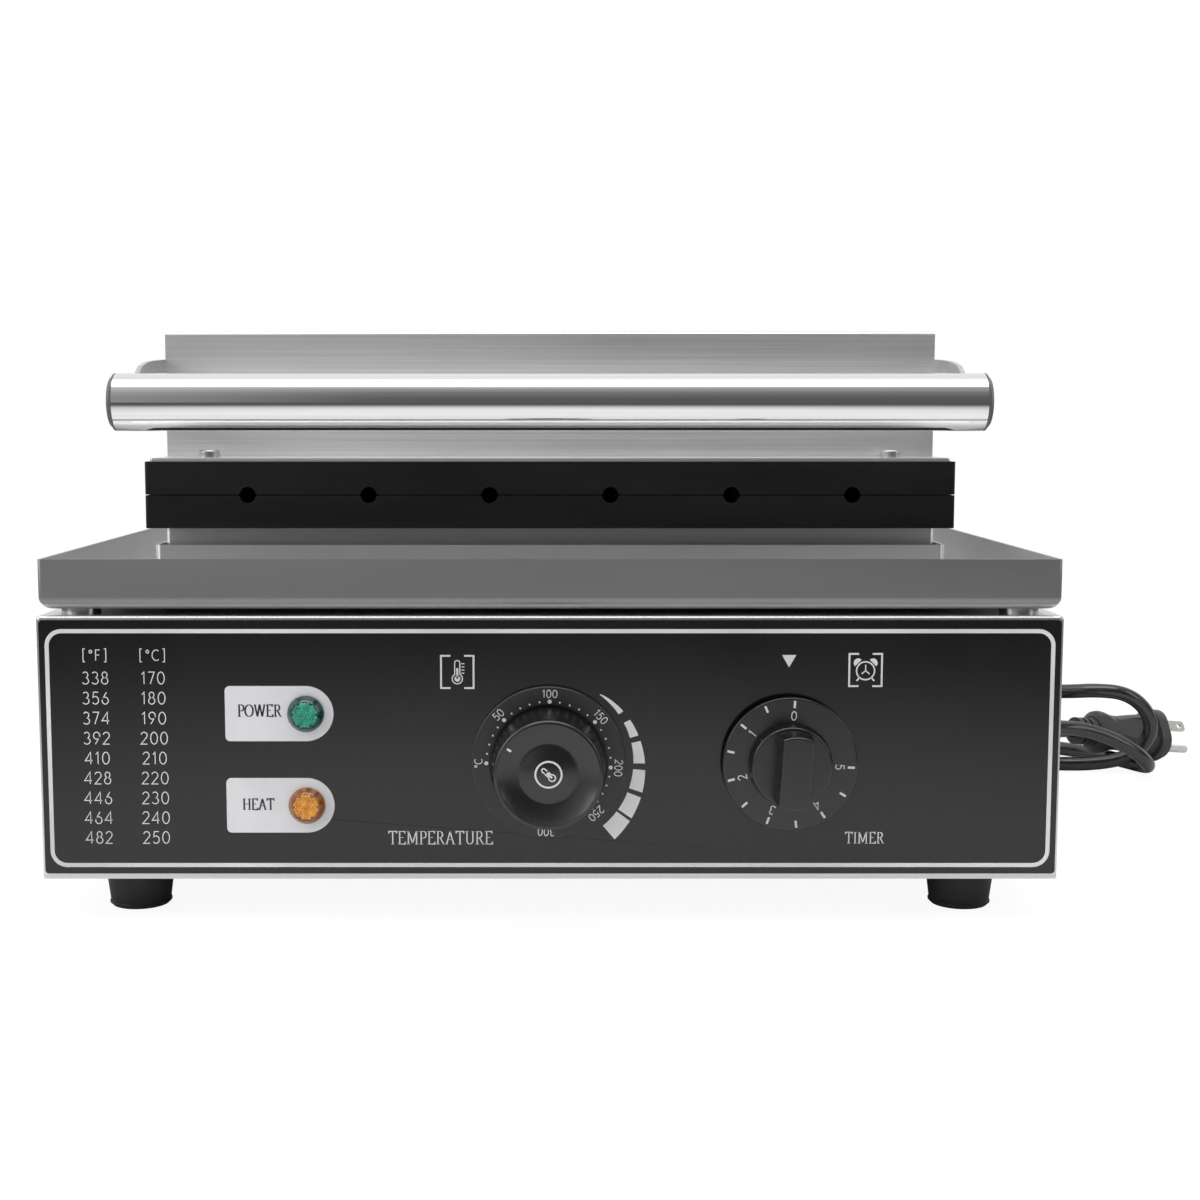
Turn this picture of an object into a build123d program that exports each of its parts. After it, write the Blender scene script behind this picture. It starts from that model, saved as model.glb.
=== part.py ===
"""A countertop corn dog maker with two hinged moulds, a chrome bar handle and an oil tray.

X runs to the right seen from the front, Y runs towards the back and Z runs up. The origin lies
under the middle of the machine, on the surface that it stands on. Sizes are in millimetres.
"""

from build123d import *
import os
from math import asin, atan, cos, degrees, hypot, pi, radians, sin, sqrt, tan

os.makedirs("parts", exist_ok=True)

# Base box
BASE_WIDTH = 420.0
BASE_DEPTH = 352.0
BASE_HEIGHT = 109.5
SHEET = 1.2
BASE_BEND = 1.6
BOTTOM_FLANGE = 50.0
REAR_FLANGE = 12.0
PANEL_GAP = 0.3
VENT_COUNT = 10
VENT_PITCH = 9.0
VENT_LENGTH = 34.0
VENT_WIDTH = 3.2
VENT_X = 75.0
VENT_RISE = 8.0
REAR_SCREW_INSET = 16.0
PLATE_VENT_COUNT = 12
PLATE_VENT_PITCH = 14.0
PLATE_VENT_LENGTH = 70.0
PLATE_VENT_WIDTH = 4.0

# Feet
FOOT_HEIGHT = 17.6
FOOT_TOP_RADIUS = 14.7
FOOT_LOW_RADIUS = 12.7
FOOT_LIP = 0.4
FOOT_LIP_HEIGHT = 2.4
FOOT_FROM_SIDE = 34.0
FOOT_FROM_FRONT = 28.0
FOOT_FROM_REAR = 32.0
FOOT_RECESS_RADIUS = 5.5
FOOT_RECESS_DEPTH = 7.0
FOOT_EDGE = 1.2
FOOT_BEAD = 0.6
FOOT_BOLT_SPARE = 8.0

# Front overlay and the things on it
OVERLAY_SIDE_MARGIN = 1.25
OVERLAY_LEVEL_MARGIN = 2.0
OVERLAY_THICKNESS = 0.5
OVERLAY_CORNER = 1.5
OVERLAY_LIFT = 0.3
DIAL_HEIGHT = 66.8
LABEL_LENGTH = 44.4
LABEL_HEIGHT = 22.8
LABEL_THICKNESS = 0.6
LABEL_CORNER = 2.0
LABEL_END_X = -88.7
LAMP_FROM_LABEL_END = 11.3
LAMP_HEIGHTS = (86.9, 48.7)
LENS_RADIUS = 7.5
LENS_FACE_RADIUS = 5.5
LENS_RIM = 0.9
LENS_REACH = 3.6
LAMP_BODY_RADIUS = 5.2
LAMP_BODY_LENGTH = 28.0
LAMP_NUT_WIDTH = 14.0
LAMP_NUT_THICKNESS = 4.0
LAMP_TAB = 6.0
TAB_THICKNESS = 0.8
LENS_STEP = 0.6

# Temperature control
THERMOSTAT_X = -0.6
RING_RADIUS = 31.75
RING_INNER_RADIUS = 24.3
RING_THICKNESS = 3.0
RING_FLOOR = 1.0
RING_EDGE = 0.8
KNOB_REACH = 29.0
KNOB_BACK_RADIUS = 23.3
KNOB_FRONT_RADIUS = 22.1
KNOB_WALL = 2.6
KNOB_DISH_RADIUS = 12.0
KNOB_DISH_DEPTH = 4.0
KNOB_DOME = 2.2
KNOB_EDGE = 1.6
KNOB_LIFT = 0.7
KNOB_HUB_RECESS = 2.5
HUB_RADIUS = 6.5
SHAFT_RADIUS = 3.0
SHAFT_FLAT = 1.8
SHAFT_GRIP = 18.0
SHAFT_INSIDE = 22.0
SHAFT_FROM_FACE = 8.0
CONTROL_BOSS_RADIUS = 5.3
CONTROL_SCREW_RADIUS = 2.0
THERMOSTAT_SCREW_SPACING = 28.0
THERMOSTAT_WIDTH = 44.0
THERMOSTAT_HEIGHT = 36.0
THERMOSTAT_DEPTH = 34.0
CONTROL_CORNER = 3.0
CONTROL_EDGE = 1.5
CONTROL_TAB = 8.0
CONTROL_TAB_WIDTH = 6.3
CONTROL_SCREW_BITE = 7.0

# Timer
TIMER_X = 98.0
TIMER_REST_TURN = 3.4
SKIRT_RADIUS = 27.6
SKIRT_THICKNESS = 3.0
SKIRT_LIFT = 3.0
TIMER_HUB_RADIUS = 17.2
TIMER_HUB_TOP_RADIUS = 16.4
TIMER_HUB_HEIGHT = 6.6
GRIP_WIDTH = 13.6
GRIP_HEIGHT = 13.5
GRIP_DRAFT = 2.0
GRIP_ROOT = 1.5
TIMER_EDGE = 1.0
TIMER_SHAFT_FROM_FACE = 6.0
TIMER_SCREW_SPACING = 44.0
TIMER_WIDTH = 54.0
TIMER_DEPTH = 38.0

# Oil tray
TRAY_GAP = 2.4
TRAY_MARGIN = 1.0
TRAY_HEIGHT = 20.7
TRAY_BEND = 5.0
TRAY_CORNER = 1.4
COLLAR_SIDE_GAP = 1.75
COLLAR_FRONT = 60.0
COLLAR_BEHIND_BOX = 22.0
COLLAR_HEIGHT = 22.3
COLLAR_CORNER = 3.0
TRAY_SCREW_INSET = 15.0
SPACER_RADIUS = 8.0

# Heater boxes
LOWER_BOX_FRONT = 77.0
UPPER_BOX_FRONT = 83.0
LOWER_BOX_HEIGHT = 32.4
UPPER_BOX_HEIGHT = 56.0
LOWER_FLANGE = 22.0
UPPER_FLANGE_THICKNESS = 1.5
UPPER_FLANGE_INSET = 2.0
WASHER_RADIUS = 4.9
WASHER_THICKNESS = 1.0
FLANGE_SCREW_BITE = 11.0
FLANGE_SCREW_INSET = 23.5
UPPER_PAD_THICKNESS = 31.8
NUT_CLEARANCE = 5.3
BASE_OPENING_WIDTH = 280.0
BASE_OPENING_MARGIN = 5.0

# Moulds
MOULD_WIDTH = 353.0
MOULD_FRONT = 54.0
MOULD_DEPTH = 208.0
MOULD_SIDE_OVERHANG = 4.0
MOULD_REAR_OVERHANG = 12.0
MOULD_RIM = 14.3
MOULD_CORNER = 1.2
MOULD_BLOCK = 10.0
MOULD_BLOCK_GAP = 6.3
PARTING_GAP = 0.4
CAVITY_COUNT = 6
CAVITY_PITCH = 52.7
CAVITY_RADIUS = 18.0
CAVITY_FROM_FRONT = 32.0
CAVITY_FROM_REAR = 26.0
CAVITY_EDGE = 0.8
STICK_RADIUS = 3.5
STUD_INSET = 13.0
STUD_BELOW = 9.0
SCREW_BITE = 9.0

# Heating elements and what clamps them
ELEMENT_RADIUS = 4.0
ELEMENT_FIRST_RUN = 110.0
ELEMENT_FROM_REAR = 35.0
ELEMENT_RUN_HALF = 105.0
ELEMENT_LEG_X = 132.0
ELEMENT_LEG = 32.0
ELEMENT_BEND = 9.0
CLAMP_THICKNESS = 1.5
CLAMP_WIDTH = 236.0
CLAMP_OVERLAP = 10.0
LOWER_PAD_THICKNESS = 6.0
PAD_GAP = 1.6
BULB_RADIUS = 3.0
BULB_LENGTH = 100.0
TUBE_RADIUS = 1.0
LEG_CLEARANCE = 1.0
CAPILLARY_X = 10.0
CAPILLARY_RISE = 8.2
CAPILLARY_RUN = 130.0
CAPILLARY_BEND = 20.0
CAPILLARY_END_BEND = 8.0

# Terminal block
BLOCK_FROM_SIDE = 70.0
BLOCK_FROM_FRONT = 300.0
BLOCK_LENGTH = 46.0
BLOCK_DEPTH = 18.0
BLOCK_HEIGHT = 16.0
BLOCK_CHAMFER = 3.0
TERMINAL_COUNT = 4
TERMINAL_PITCH = 10.0
TERMINAL_ROW_GAP = 7.0
TERMINAL_RADIUS = 2.0
TERMINAL_DEPTH = 5.0
WIRE_ENTRY_RADIUS = 2.2
WIRE_ENTRY_HEIGHT = 5.0

# Handle
TUBE_OUTER_RADIUS = 12.0
TUBE_WALL = 1.5
TUBE_BEYOND_ARMS = 6.5
HANDLE_FRONT = 28.0
HANDLE_HEIGHT = 214.0
ARM_THICKNESS = 2.0
ARM_BELOW_TOP = 12.6
ARM_ABOVE_FLANGE = 13.4
ARM_REAR = 176.0
ARM_END_RADIUS = 10.0
CAP_RIM = 1.0
CAP_DOME = 1.4
CAP_SPIGOT = 5.0
SLOT_FIT = 0.1
ARM_SLOPE_POINTS = [(0.0, 10.3), (10.0, 15.3), (17.5, 16.7), (27.0, 17.9)]
ARM_SCREW_INSET = 22.0

# Hinge
HINGE_BEHIND_MOULD = 24.0
HINGE_ABOVE_PARTING = 7.0
HINGE_X = 118.0
ROD_RADIUS = 4.0
ROD_LENGTH = 276.0
EAR_RADIUS = 9.0
KNUCKLE_RADIUS = 8.0
HINGE_PLATE = 3.0
FORK_GAP = 20.0
FORK_CLEARANCE = 0.5
RING_WIDTH = 2.0
RING_OUTER_RADIUS = 7.0
BRACKET_RISE = 5.9
BRACKET_DROP = 1.2
BRACKET_SCREW_RISES = (12.5, 23.5)
EAR_CLEARANCE = 2.0
EAR_FOOT_GAP = 4.8
EAR_STEP_GAP = 2.7
EAR_NECK = 7.0
STRAP_RISE = 11.0
STRAP_THICKNESS = 6.0
LEAF_RISE = 4.0
LEAF_DROP = 10.0
LEAF_SCREW_DROPS = (22.0, 8.0)
ROD_CHAMFER = 0.6

# Fasteners and fits
FIT = 0.02
RUNNING_FIT = 0.05
HOLE_FIT = 0.2
M4 = 2.0
M5 = 2.5
M6 = 3.0
M4_NUT = (7.0, 3.0)
M5_NUT = (8.0, 4.0)
M6_NUT = (10.0, 5.0)
SCREW_SPARE = 4.0
HEAD_RATIO = 1.8
HEAD_HEIGHT = 2.4

# Cord and plug
CORD_RADIUS = 4.15
CORD_LAYER = 8.9
COIL_X = 100.0
COIL_Y = 240.5
COIL_RADIUS = 55.0
COIL_STEP = 10.5
COIL_HALF_TURNS = 5
COIL_SAMPLES = 240
COIL_NEIGHBOUR = 30.0
GLAND_X = 165.0
GLAND_HEIGHT = 45.0
GLAND_THREAD_RADIUS = 7.9
GLAND_FLANGE_RADIUS = 11.0
GLAND_FLANGE = 5.0
GLAND_REACH = 30.0
GLAND_TIP_RADIUS = 5.4
GLAND_NUT_WIDTH = 22.0
GLAND_NUT_THICKNESS = 4.0
GLAND_NECK = 14.0
GLAND_RIB = 0.7
GLAND_RIB_COUNT = 4
PLUG_TAIL = (311.8, 143.5, 22.5)
PLUG_LENGTH = 60.7
PLUG_YAW = 21.8
PLUG_DIP = 6.6
PLUG_ROLL = -31.0
TAIL_RUN = 15.0
PLUG_RELIEF_RADIUS = 8.0
PLUG_RELIEF_LENGTH = 12.5
PLUG_GROOVES = (3.0, 7.0)
PLUG_GROOVE_WIDTH = 1.8
PLUG_GROOVE_DEPTH = 1.4
PLUG_FLANGE_RADIUS = 15.0
PLUG_FLANGE_THICKNESS = 6.5
PLUG_FLANGE_CUT = 3.0
PLUG_FLANGE_CORNER = 11.0
PLUG_HALF_WIDTH = 10.6
PLUG_PANEL_LENGTH = 26.0
PLUG_PANEL_WIDTH = 13.0
PLUG_PANEL_DEPTH = 1.6
PLUG_PANEL_FROM_FLANGE = 17.0
BLADE_SPACING = 12.7
BLADE_RISE = 4.0
BLADE_LENGTH = 17.9
BLADE_WIDTH = 6.35
BLADE_THICKNESS = 1.5
BLADE_HOLE_RADIUS = 1.6
BLADE_HOLE_FROM_TIP = 4.1
BLADE_ROOT = 8.0
BLADE_TIP = 1.8
PIN_DROP = 11.9
PIN_LENGTH = 21.5
PIN_RADIUS = 2.4
PIN_TIP = 1.6

# Levels worked out from the sizes above
BASE_BOTTOM = FOOT_HEIGHT
BASE_TOP = BASE_BOTTOM + BASE_HEIGHT
BASE_INNER_TOP = BASE_TOP - SHEET
PLATE_TOP = BASE_BOTTOM + 2 * SHEET
TRAY_BOTTOM = BASE_TOP + TRAY_GAP
TRAY_FLOOR = TRAY_BOTTOM + SHEET
TRAY_TOP = TRAY_BOTTOM + TRAY_HEIGHT
LOWER_MOULD_BOTTOM = BASE_TOP + LOWER_BOX_HEIGHT
LOWER_MOULD_TOP = LOWER_MOULD_BOTTOM + MOULD_RIM
PARTING_Z = LOWER_MOULD_TOP + PARTING_GAP / 2
UPPER_MOULD_BOTTOM = PARTING_Z + PARTING_GAP / 2
UPPER_MOULD_TOP = UPPER_MOULD_BOTTOM + MOULD_RIM
FLANGE_TOP = UPPER_MOULD_TOP + UPPER_FLANGE_THICKNESS
UPPER_BOX_TOP = FLANGE_TOP + UPPER_BOX_HEIGHT
HINGE_Z = PARTING_Z + HINGE_ABOVE_PARTING
ARM_TOP = UPPER_BOX_TOP - ARM_BELOW_TOP
ARM_BOTTOM = FLANGE_TOP + ARM_ABOVE_FLANGE

# Widths and depths worked out from the sizes above
OVERLAY_WIDTH = BASE_WIDTH - 2 * OVERLAY_SIDE_MARGIN
OVERLAY_HEIGHT = BASE_HEIGHT - 2 * OVERLAY_LEVEL_MARGIN
MOULD_REAR = MOULD_FRONT + MOULD_DEPTH
HEATER_WIDTH = MOULD_WIDTH - 2 * MOULD_SIDE_OVERHANG
BOX_REAR = MOULD_REAR - MOULD_REAR_OVERHANG
UPPER_FLANGE_WIDTH = MOULD_WIDTH - 2 * UPPER_FLANGE_INSET
UPPER_FLANGE_FRONT = MOULD_FRONT + UPPER_FLANGE_INSET
UPPER_FLANGE_REAR = MOULD_REAR - UPPER_FLANGE_INSET
FLANGE_SCREW_X = UPPER_FLANGE_WIDTH / 2 - FLANGE_SCREW_INSET
COLLAR_WIDTH = HEATER_WIDTH + 2 * COLLAR_SIDE_GAP
COLLAR_REAR = BOX_REAR + COLLAR_BEHIND_BOX
CAVITY_LENGTH = MOULD_DEPTH - CAVITY_FROM_FRONT - CAVITY_FROM_REAR
ELEMENT_LAST_RUN = BOX_REAR - ELEMENT_FROM_REAR
ELEMENT_PITCH = (ELEMENT_LAST_RUN - ELEMENT_FIRST_RUN) / 3
TUBE_LENGTH = HEATER_WIDTH + 2 * (ARM_THICKNESS + TUBE_BEYOND_ARMS)

# Places worked out from the sizes above
FRONT_Y = (KNOB_REACH - BASE_DEPTH - GLAND_REACH) / 2
BASE_MIDDLE_Y = FRONT_Y + BASE_DEPTH / 2
REAR_Y = FRONT_Y + BASE_DEPTH
HINGE_Y = FRONT_Y + MOULD_REAR + HINGE_BEHIND_MOULD
MOULD_MIDDLE_Y = FRONT_Y + MOULD_FRONT + MOULD_DEPTH / 2
HEATER_HALF = HEATER_WIDTH / 2
FOOT_X = BASE_WIDTH / 2 - FOOT_FROM_SIDE
FOOT_PLACES = [
    (side * FOOT_X, FRONT_Y + distance)
    for side in (-1, 1)
    for distance in (FOOT_FROM_FRONT, BASE_DEPTH - FOOT_FROM_REAR)
]
TRAY_SCREW_PLACES = [
    (side * (BASE_WIDTH / 2 - TRAY_SCREW_INSET), FRONT_Y + distance)
    for side in (-1, 1)
    for distance in (TRAY_SCREW_INSET, BASE_DEPTH - TRAY_SCREW_INSET)
]
STUD_X = HEATER_HALF - STUD_INSET - SHEET
STUD_PLACES = [
    (side * STUD_X, FRONT_Y + distance)
    for side in (-1, 1)
    for distance in (LOWER_BOX_FRONT + STUD_INSET, BOX_REAR - STUD_INSET)
]
LEG_PLACES = [
    (-ELEMENT_LEG_X, FRONT_Y + ELEMENT_FIRST_RUN),
    (-ELEMENT_LEG_X, FRONT_Y + ELEMENT_LAST_RUN),
]
CLAMP_SCREW_PLACES = [
    (side * 2 * CAVITY_PITCH, FRONT_Y + ELEMENT_FIRST_RUN + gap * ELEMENT_PITCH)
    for side in (-1, 1)
    for gap in (0.5, 2.5)
]
BULB_Y = FRONT_Y + ELEMENT_FIRST_RUN + 1.5 * ELEMENT_PITCH
SENSOR_X = BULB_LENGTH / 2 + 12.0
SENSOR_PLACE = (SENSOR_X, BULB_Y)
FLANGE_SCREW_PLACES = [
    (side * FLANGE_SCREW_X, FRONT_Y + distance)
    for side in (-1, 1)
    for distance in (
        (UPPER_FLANGE_FRONT + UPPER_BOX_FRONT) / 2,
        (UPPER_FLANGE_REAR + BOX_REAR) / 2,
    )
]
LAMP_X = LABEL_END_X - LAMP_FROM_LABEL_END
OVERLAY_MIDDLE_Z = BASE_BOTTOM + BASE_HEIGHT / 2 + OVERLAY_LIFT
CONTROLS = (
    (THERMOSTAT_X, THERMOSTAT_SCREW_SPACING),
    (TIMER_X, TIMER_SCREW_SPACING),
)
ARM_SCREW_PLACES = [
    (FRONT_Y + distance, (ARM_TOP + ARM_BOTTOM) / 2)
    for distance in (UPPER_BOX_FRONT + ARM_SCREW_INSET, ARM_REAR - ARM_SCREW_INSET)
]
LEAF_PLATE_BOTTOM = FLANGE_TOP + LEAF_RISE
LEAF_PLATE_TOP = UPPER_BOX_TOP - LEAF_DROP
LEAF_SCREW_HEIGHTS = [LEAF_PLATE_TOP - drop for drop in LEAF_SCREW_DROPS]
BRACKET_SCREW_HEIGHTS = [BASE_TOP + rise for rise in BRACKET_SCREW_RISES]
REAR_SCREW_PLACES = [
    (side * (BASE_WIDTH / 2 - SHEET - REAR_FLANGE / 2), z)
    for side in (-1, 1)
    for z in (
        BASE_BOTTOM + REAR_SCREW_INSET,
        BASE_BOTTOM + BASE_HEIGHT / 2,
        BASE_TOP - REAR_SCREW_INSET,
    )
]


def front_plane(x, z, outward=0.0):
    """A plane facing out of the front, whose height above the front wall is outward."""
    return Plane(origin=(x, FRONT_Y - outward, z), x_dir=(1, 0, 0), z_dir=(0, -1, 0))


def rear_plane(x, z, outward=0.0):
    """A plane facing out of the back: its local X runs to the left seen from the front."""
    return Plane(origin=(x, REAR_Y + outward, z), x_dir=(-1, 0, 0), z_dir=(0, 1, 0))


def turning_plane(x, z):
    """A plane through a dial's axis: local X is the radius and local Y points out."""
    return Plane(origin=(x, FRONT_Y, z), x_dir=(1, 0, 0), z_dir=(0, 0, -1))


def outward_axis(x, z):
    """The axis of a dial or lamp."""
    return Axis((x, FRONT_Y, z), (0, -1, 0))


def side_plane(x):
    """A plane across the machine at x: local X is world Y and local Y is world Z."""
    return Plane.YZ.offset(x)


def pan_screw(radius, length):
    """A pan head screw along local Z: its head stands on the plane and its shank goes down."""
    with BuildPart() as screw:
        with BuildSketch():
            Circle(radius * HEAD_RATIO)
        extrude(amount=HEAD_HEIGHT)
        fillet(screw.faces().sort_by(Axis.Z)[-1].edges(), HEAD_HEIGHT * 0.45)
        with BuildSketch(Plane.XY.offset(HEAD_HEIGHT)):
            Rectangle(radius * HEAD_RATIO * 1.1, radius * 0.35)
            Rectangle(radius * 0.35, radius * HEAD_RATIO * 1.1)
        extrude(amount=-HEAD_HEIGHT * 0.5, mode=Mode.SUBTRACT)
        with BuildSketch():
            Circle(radius)
        extrude(amount=-length)
    return screw.part


def hex_nut(bore_radius, width, thickness):
    """A hexagon nut that stands on the plane, its bore along local Z."""
    with BuildPart() as nut:
        with BuildSketch():
            RegularPolygon(width / 2, 6, major_radius=False)
            Circle(bore_radius, mode=Mode.SUBTRACT)
        extrude(amount=thickness)
    return nut.part


# Base housing: front, top and sides folded from one sheet, open at the bottom and the back
with BuildPart() as base_housing:
    with BuildSketch(Plane.XY.offset(BASE_BOTTOM)):
        with Locations((0, BASE_MIDDLE_Y)):
            Rectangle(BASE_WIDTH, BASE_DEPTH)
    extrude(amount=BASE_HEIGHT)
    front_corners = base_housing.edges().filter_by(Axis.Z).group_by(Axis.Y)[0]
    fillet(front_corners, BASE_BEND)
    fillet(base_housing.faces().sort_by(Axis.Z)[-1].edges().sort_by(Axis.Y)[:-1], BASE_BEND)
    inner_width = BASE_WIDTH - 2 * SHEET
    with BuildSketch(Plane.XY.offset(BASE_BOTTOM + SHEET)):
        with Locations((0, BASE_MIDDLE_Y - SHEET / 2)):
            Rectangle(inner_width, BASE_DEPTH - 3 * SHEET)
        with Locations((0, REAR_Y - SHEET / 2)):
            Rectangle(inner_width, SHEET)
    extrude(amount=BASE_HEIGHT - 2 * SHEET, mode=Mode.SUBTRACT)
    with BuildSketch(Plane.XY.offset(BASE_BOTTOM)):
        with Locations((0, BASE_MIDDLE_Y + SHEET)):
            Rectangle(BASE_WIDTH - 2 * BOTTOM_FLANGE, BASE_DEPTH)
    extrude(amount=SHEET, mode=Mode.SUBTRACT)
    with BuildSketch(rear_plane(0, BASE_BOTTOM + SHEET)):
        with Locations((0, (BASE_HEIGHT - 2 * SHEET - REAR_FLANGE) / 2)):
            Rectangle(inner_width - 2 * REAR_FLANGE, BASE_HEIGHT - 2 * SHEET - REAR_FLANGE)
    extrude(amount=-3 * SHEET, mode=Mode.SUBTRACT)
    with BuildSketch(Plane.XY.offset(BASE_TOP)):
        with Locations((0, FRONT_Y + (ELEMENT_FIRST_RUN + ELEMENT_LAST_RUN) / 2)):
            Rectangle(
                BASE_OPENING_WIDTH,
                3 * ELEMENT_PITCH + 2 * (ELEMENT_RADIUS + BASE_OPENING_MARGIN),
            )
        with Locations(*STUD_PLACES):
            Circle(M6 + HOLE_FIT)
        with Locations(*TRAY_SCREW_PLACES):
            Circle(M4 + HOLE_FIT)
    extrude(amount=-SHEET, mode=Mode.SUBTRACT)
    with BuildSketch(Plane.XY.offset(BASE_BOTTOM)):
        with Locations(*FOOT_PLACES):
            Circle(M5 + HOLE_FIT)
    extrude(amount=SHEET, mode=Mode.SUBTRACT)
    with BuildSketch(front_plane(0, 0)):
        for control_x, spacing in CONTROLS:
            with Locations((control_x, DIAL_HEIGHT)):
                Circle(CONTROL_BOSS_RADIUS + HOLE_FIT)
            with Locations(
                (control_x - spacing / 2, DIAL_HEIGHT), (control_x + spacing / 2, DIAL_HEIGHT)
            ):
                Circle(CONTROL_SCREW_RADIUS + HOLE_FIT)
        with Locations(*[(LAMP_X, z) for z in LAMP_HEIGHTS]):
            Circle(LAMP_BODY_RADIUS + HOLE_FIT)
    extrude(amount=-SHEET, mode=Mode.SUBTRACT)
    with BuildSketch(rear_plane(0, 0)):
        with Locations(*REAR_SCREW_PLACES):
            Circle(M4 + FIT)
    extrude(amount=-3 * SHEET, mode=Mode.SUBTRACT)
base_housing.part.label = "base_housing"
export_step(base_housing.part, "parts/base_housing.step")

# Rear panel, flush in the housing's back, with two rows of vent slots
PANEL_HEIGHT = BASE_HEIGHT - 2 * SHEET - 2 * PANEL_GAP
with BuildPart() as rear_panel:
    with BuildSketch(rear_plane(0, 0)):
        with Locations((0, BASE_BOTTOM + BASE_HEIGHT / 2)):
            Rectangle(BASE_WIDTH - 2 * SHEET - 2 * PANEL_GAP, PANEL_HEIGHT)
            with Locations((-VENT_X, VENT_RISE), (VENT_X, VENT_RISE)):
                with GridLocations(VENT_PITCH, 0, VENT_COUNT, 1):
                    SlotOverall(VENT_LENGTH, VENT_WIDTH, rotation=90, mode=Mode.SUBTRACT)
        with Locations((-GLAND_X, GLAND_HEIGHT)):
            Circle(GLAND_THREAD_RADIUS + FIT, mode=Mode.SUBTRACT)
        with Locations(*REAR_SCREW_PLACES):
            Circle(M4 + HOLE_FIT, mode=Mode.SUBTRACT)
    extrude(amount=-SHEET)
rear_panel.part.label = "rear_panel"
export_step(rear_panel.part, "parts/rear_panel.step")

# Screws of the rear panel, through the housing's rear flanges
rear_screw = pan_screw(M4, 2 * SHEET + SCREW_SPARE)
with BuildPart() as rear_panel_screws:
    for x, z in REAR_SCREW_PLACES:
        with Locations(rear_plane(x, z)):
            add(rear_screw)
rear_panel_screws.part.label = "rear_panel_screws"
export_step(rear_panel_screws.part, "parts/rear_panel_screws.step")

# Bottom plate, inside on the housing's bottom flanges
with BuildPart() as bottom_plate:
    with BuildSketch(Plane.XY.offset(BASE_BOTTOM + SHEET)):
        with Locations((0, BASE_MIDDLE_Y - SHEET / 2)):
            Rectangle(
                BASE_WIDTH - 2 * SHEET - 2 * PANEL_GAP, BASE_DEPTH - 3 * SHEET - 2 * PANEL_GAP
            )
            with Locations((0, -BASE_DEPTH / 6), (0, BASE_DEPTH / 6)):
                with GridLocations(PLATE_VENT_PITCH, 0, PLATE_VENT_COUNT, 1):
                    SlotOverall(
                        PLATE_VENT_LENGTH, PLATE_VENT_WIDTH, rotation=90, mode=Mode.SUBTRACT
                    )
        with Locations(*FOOT_PLACES):
            Circle(M5 + HOLE_FIT, mode=Mode.SUBTRACT)
    extrude(amount=SHEET)
bottom_plate.part.label = "bottom_plate"
export_step(bottom_plate.part, "parts/bottom_plate.step")

# One rubber foot: tapered, with a small lip at the floor and a recess for its bolt
with BuildPart() as foot:
    with BuildSketch(Plane.XZ):
        with BuildLine():
            Polyline(
                (0, 0),
                (FOOT_LOW_RADIUS + FOOT_LIP - FOOT_EDGE, 0),
                (FOOT_LOW_RADIUS + FOOT_LIP, FOOT_EDGE),
                (FOOT_LOW_RADIUS + FOOT_LIP, FOOT_LIP_HEIGHT - FOOT_BEAD),
                (FOOT_LOW_RADIUS, FOOT_LIP_HEIGHT),
                (FOOT_TOP_RADIUS, FOOT_HEIGHT),
                (0, FOOT_HEIGHT),
                close=True,
            )
        make_face()
    revolve(axis=Axis.Z)
    with BuildSketch():
        Circle(FOOT_RECESS_RADIUS)
    extrude(amount=FOOT_RECESS_DEPTH, mode=Mode.SUBTRACT)
    with BuildSketch():
        Circle(M5 + HOLE_FIT)
    extrude(amount=FOOT_HEIGHT, mode=Mode.SUBTRACT)
with BuildPart() as rubber_feet:
    with Locations(*FOOT_PLACES):
        add(foot.part)
rubber_feet.part.label = "rubber_feet"
export_step(rubber_feet.part, "parts/rubber_feet.step")

# Foot bolts, up through each foot, and their nuts on the bottom plate
FOOT_BOLT_LENGTH = PLATE_TOP - FOOT_RECESS_DEPTH + FOOT_BOLT_SPARE
foot_bolt = pan_screw(M5, FOOT_BOLT_LENGTH)
foot_nut = hex_nut(M5 + FIT, *M5_NUT)
with BuildPart() as foot_bolts:
    for x, y in FOOT_PLACES:
        recess_top = Plane(origin=(x, y, FOOT_RECESS_DEPTH), x_dir=(1, 0, 0), z_dir=(0, 0, -1))
        with Locations(recess_top):
            add(foot_bolt)
        with Locations((x, y, PLATE_TOP)):
            add(foot_nut)
foot_bolts.part.label = "foot_bolts"
export_step(foot_bolts.part, "parts/foot_bolts.step")

# Front overlay: the printed panel, with holes for the controls and the lamps
with BuildPart() as front_overlay:
    with BuildSketch(front_plane(0, 0)):
        with Locations((0, OVERLAY_MIDDLE_Z)):
            RectangleRounded(OVERLAY_WIDTH, OVERLAY_HEIGHT, OVERLAY_CORNER)
        for control_x, spacing in CONTROLS:
            with Locations((control_x, DIAL_HEIGHT)):
                Circle(CONTROL_BOSS_RADIUS + HOLE_FIT, mode=Mode.SUBTRACT)
            with Locations(
                (control_x - spacing / 2, DIAL_HEIGHT), (control_x + spacing / 2, DIAL_HEIGHT)
            ):
                Circle(CONTROL_SCREW_RADIUS + HOLE_FIT, mode=Mode.SUBTRACT)
        with Locations(*[(LAMP_X, z) for z in LAMP_HEIGHTS]):
            Circle(LAMP_BODY_RADIUS + HOLE_FIT, mode=Mode.SUBTRACT)
    extrude(amount=OVERLAY_THICKNESS)
front_overlay.part.label = "front_overlay"
export_step(front_overlay.part, "parts/front_overlay.step")

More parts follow.
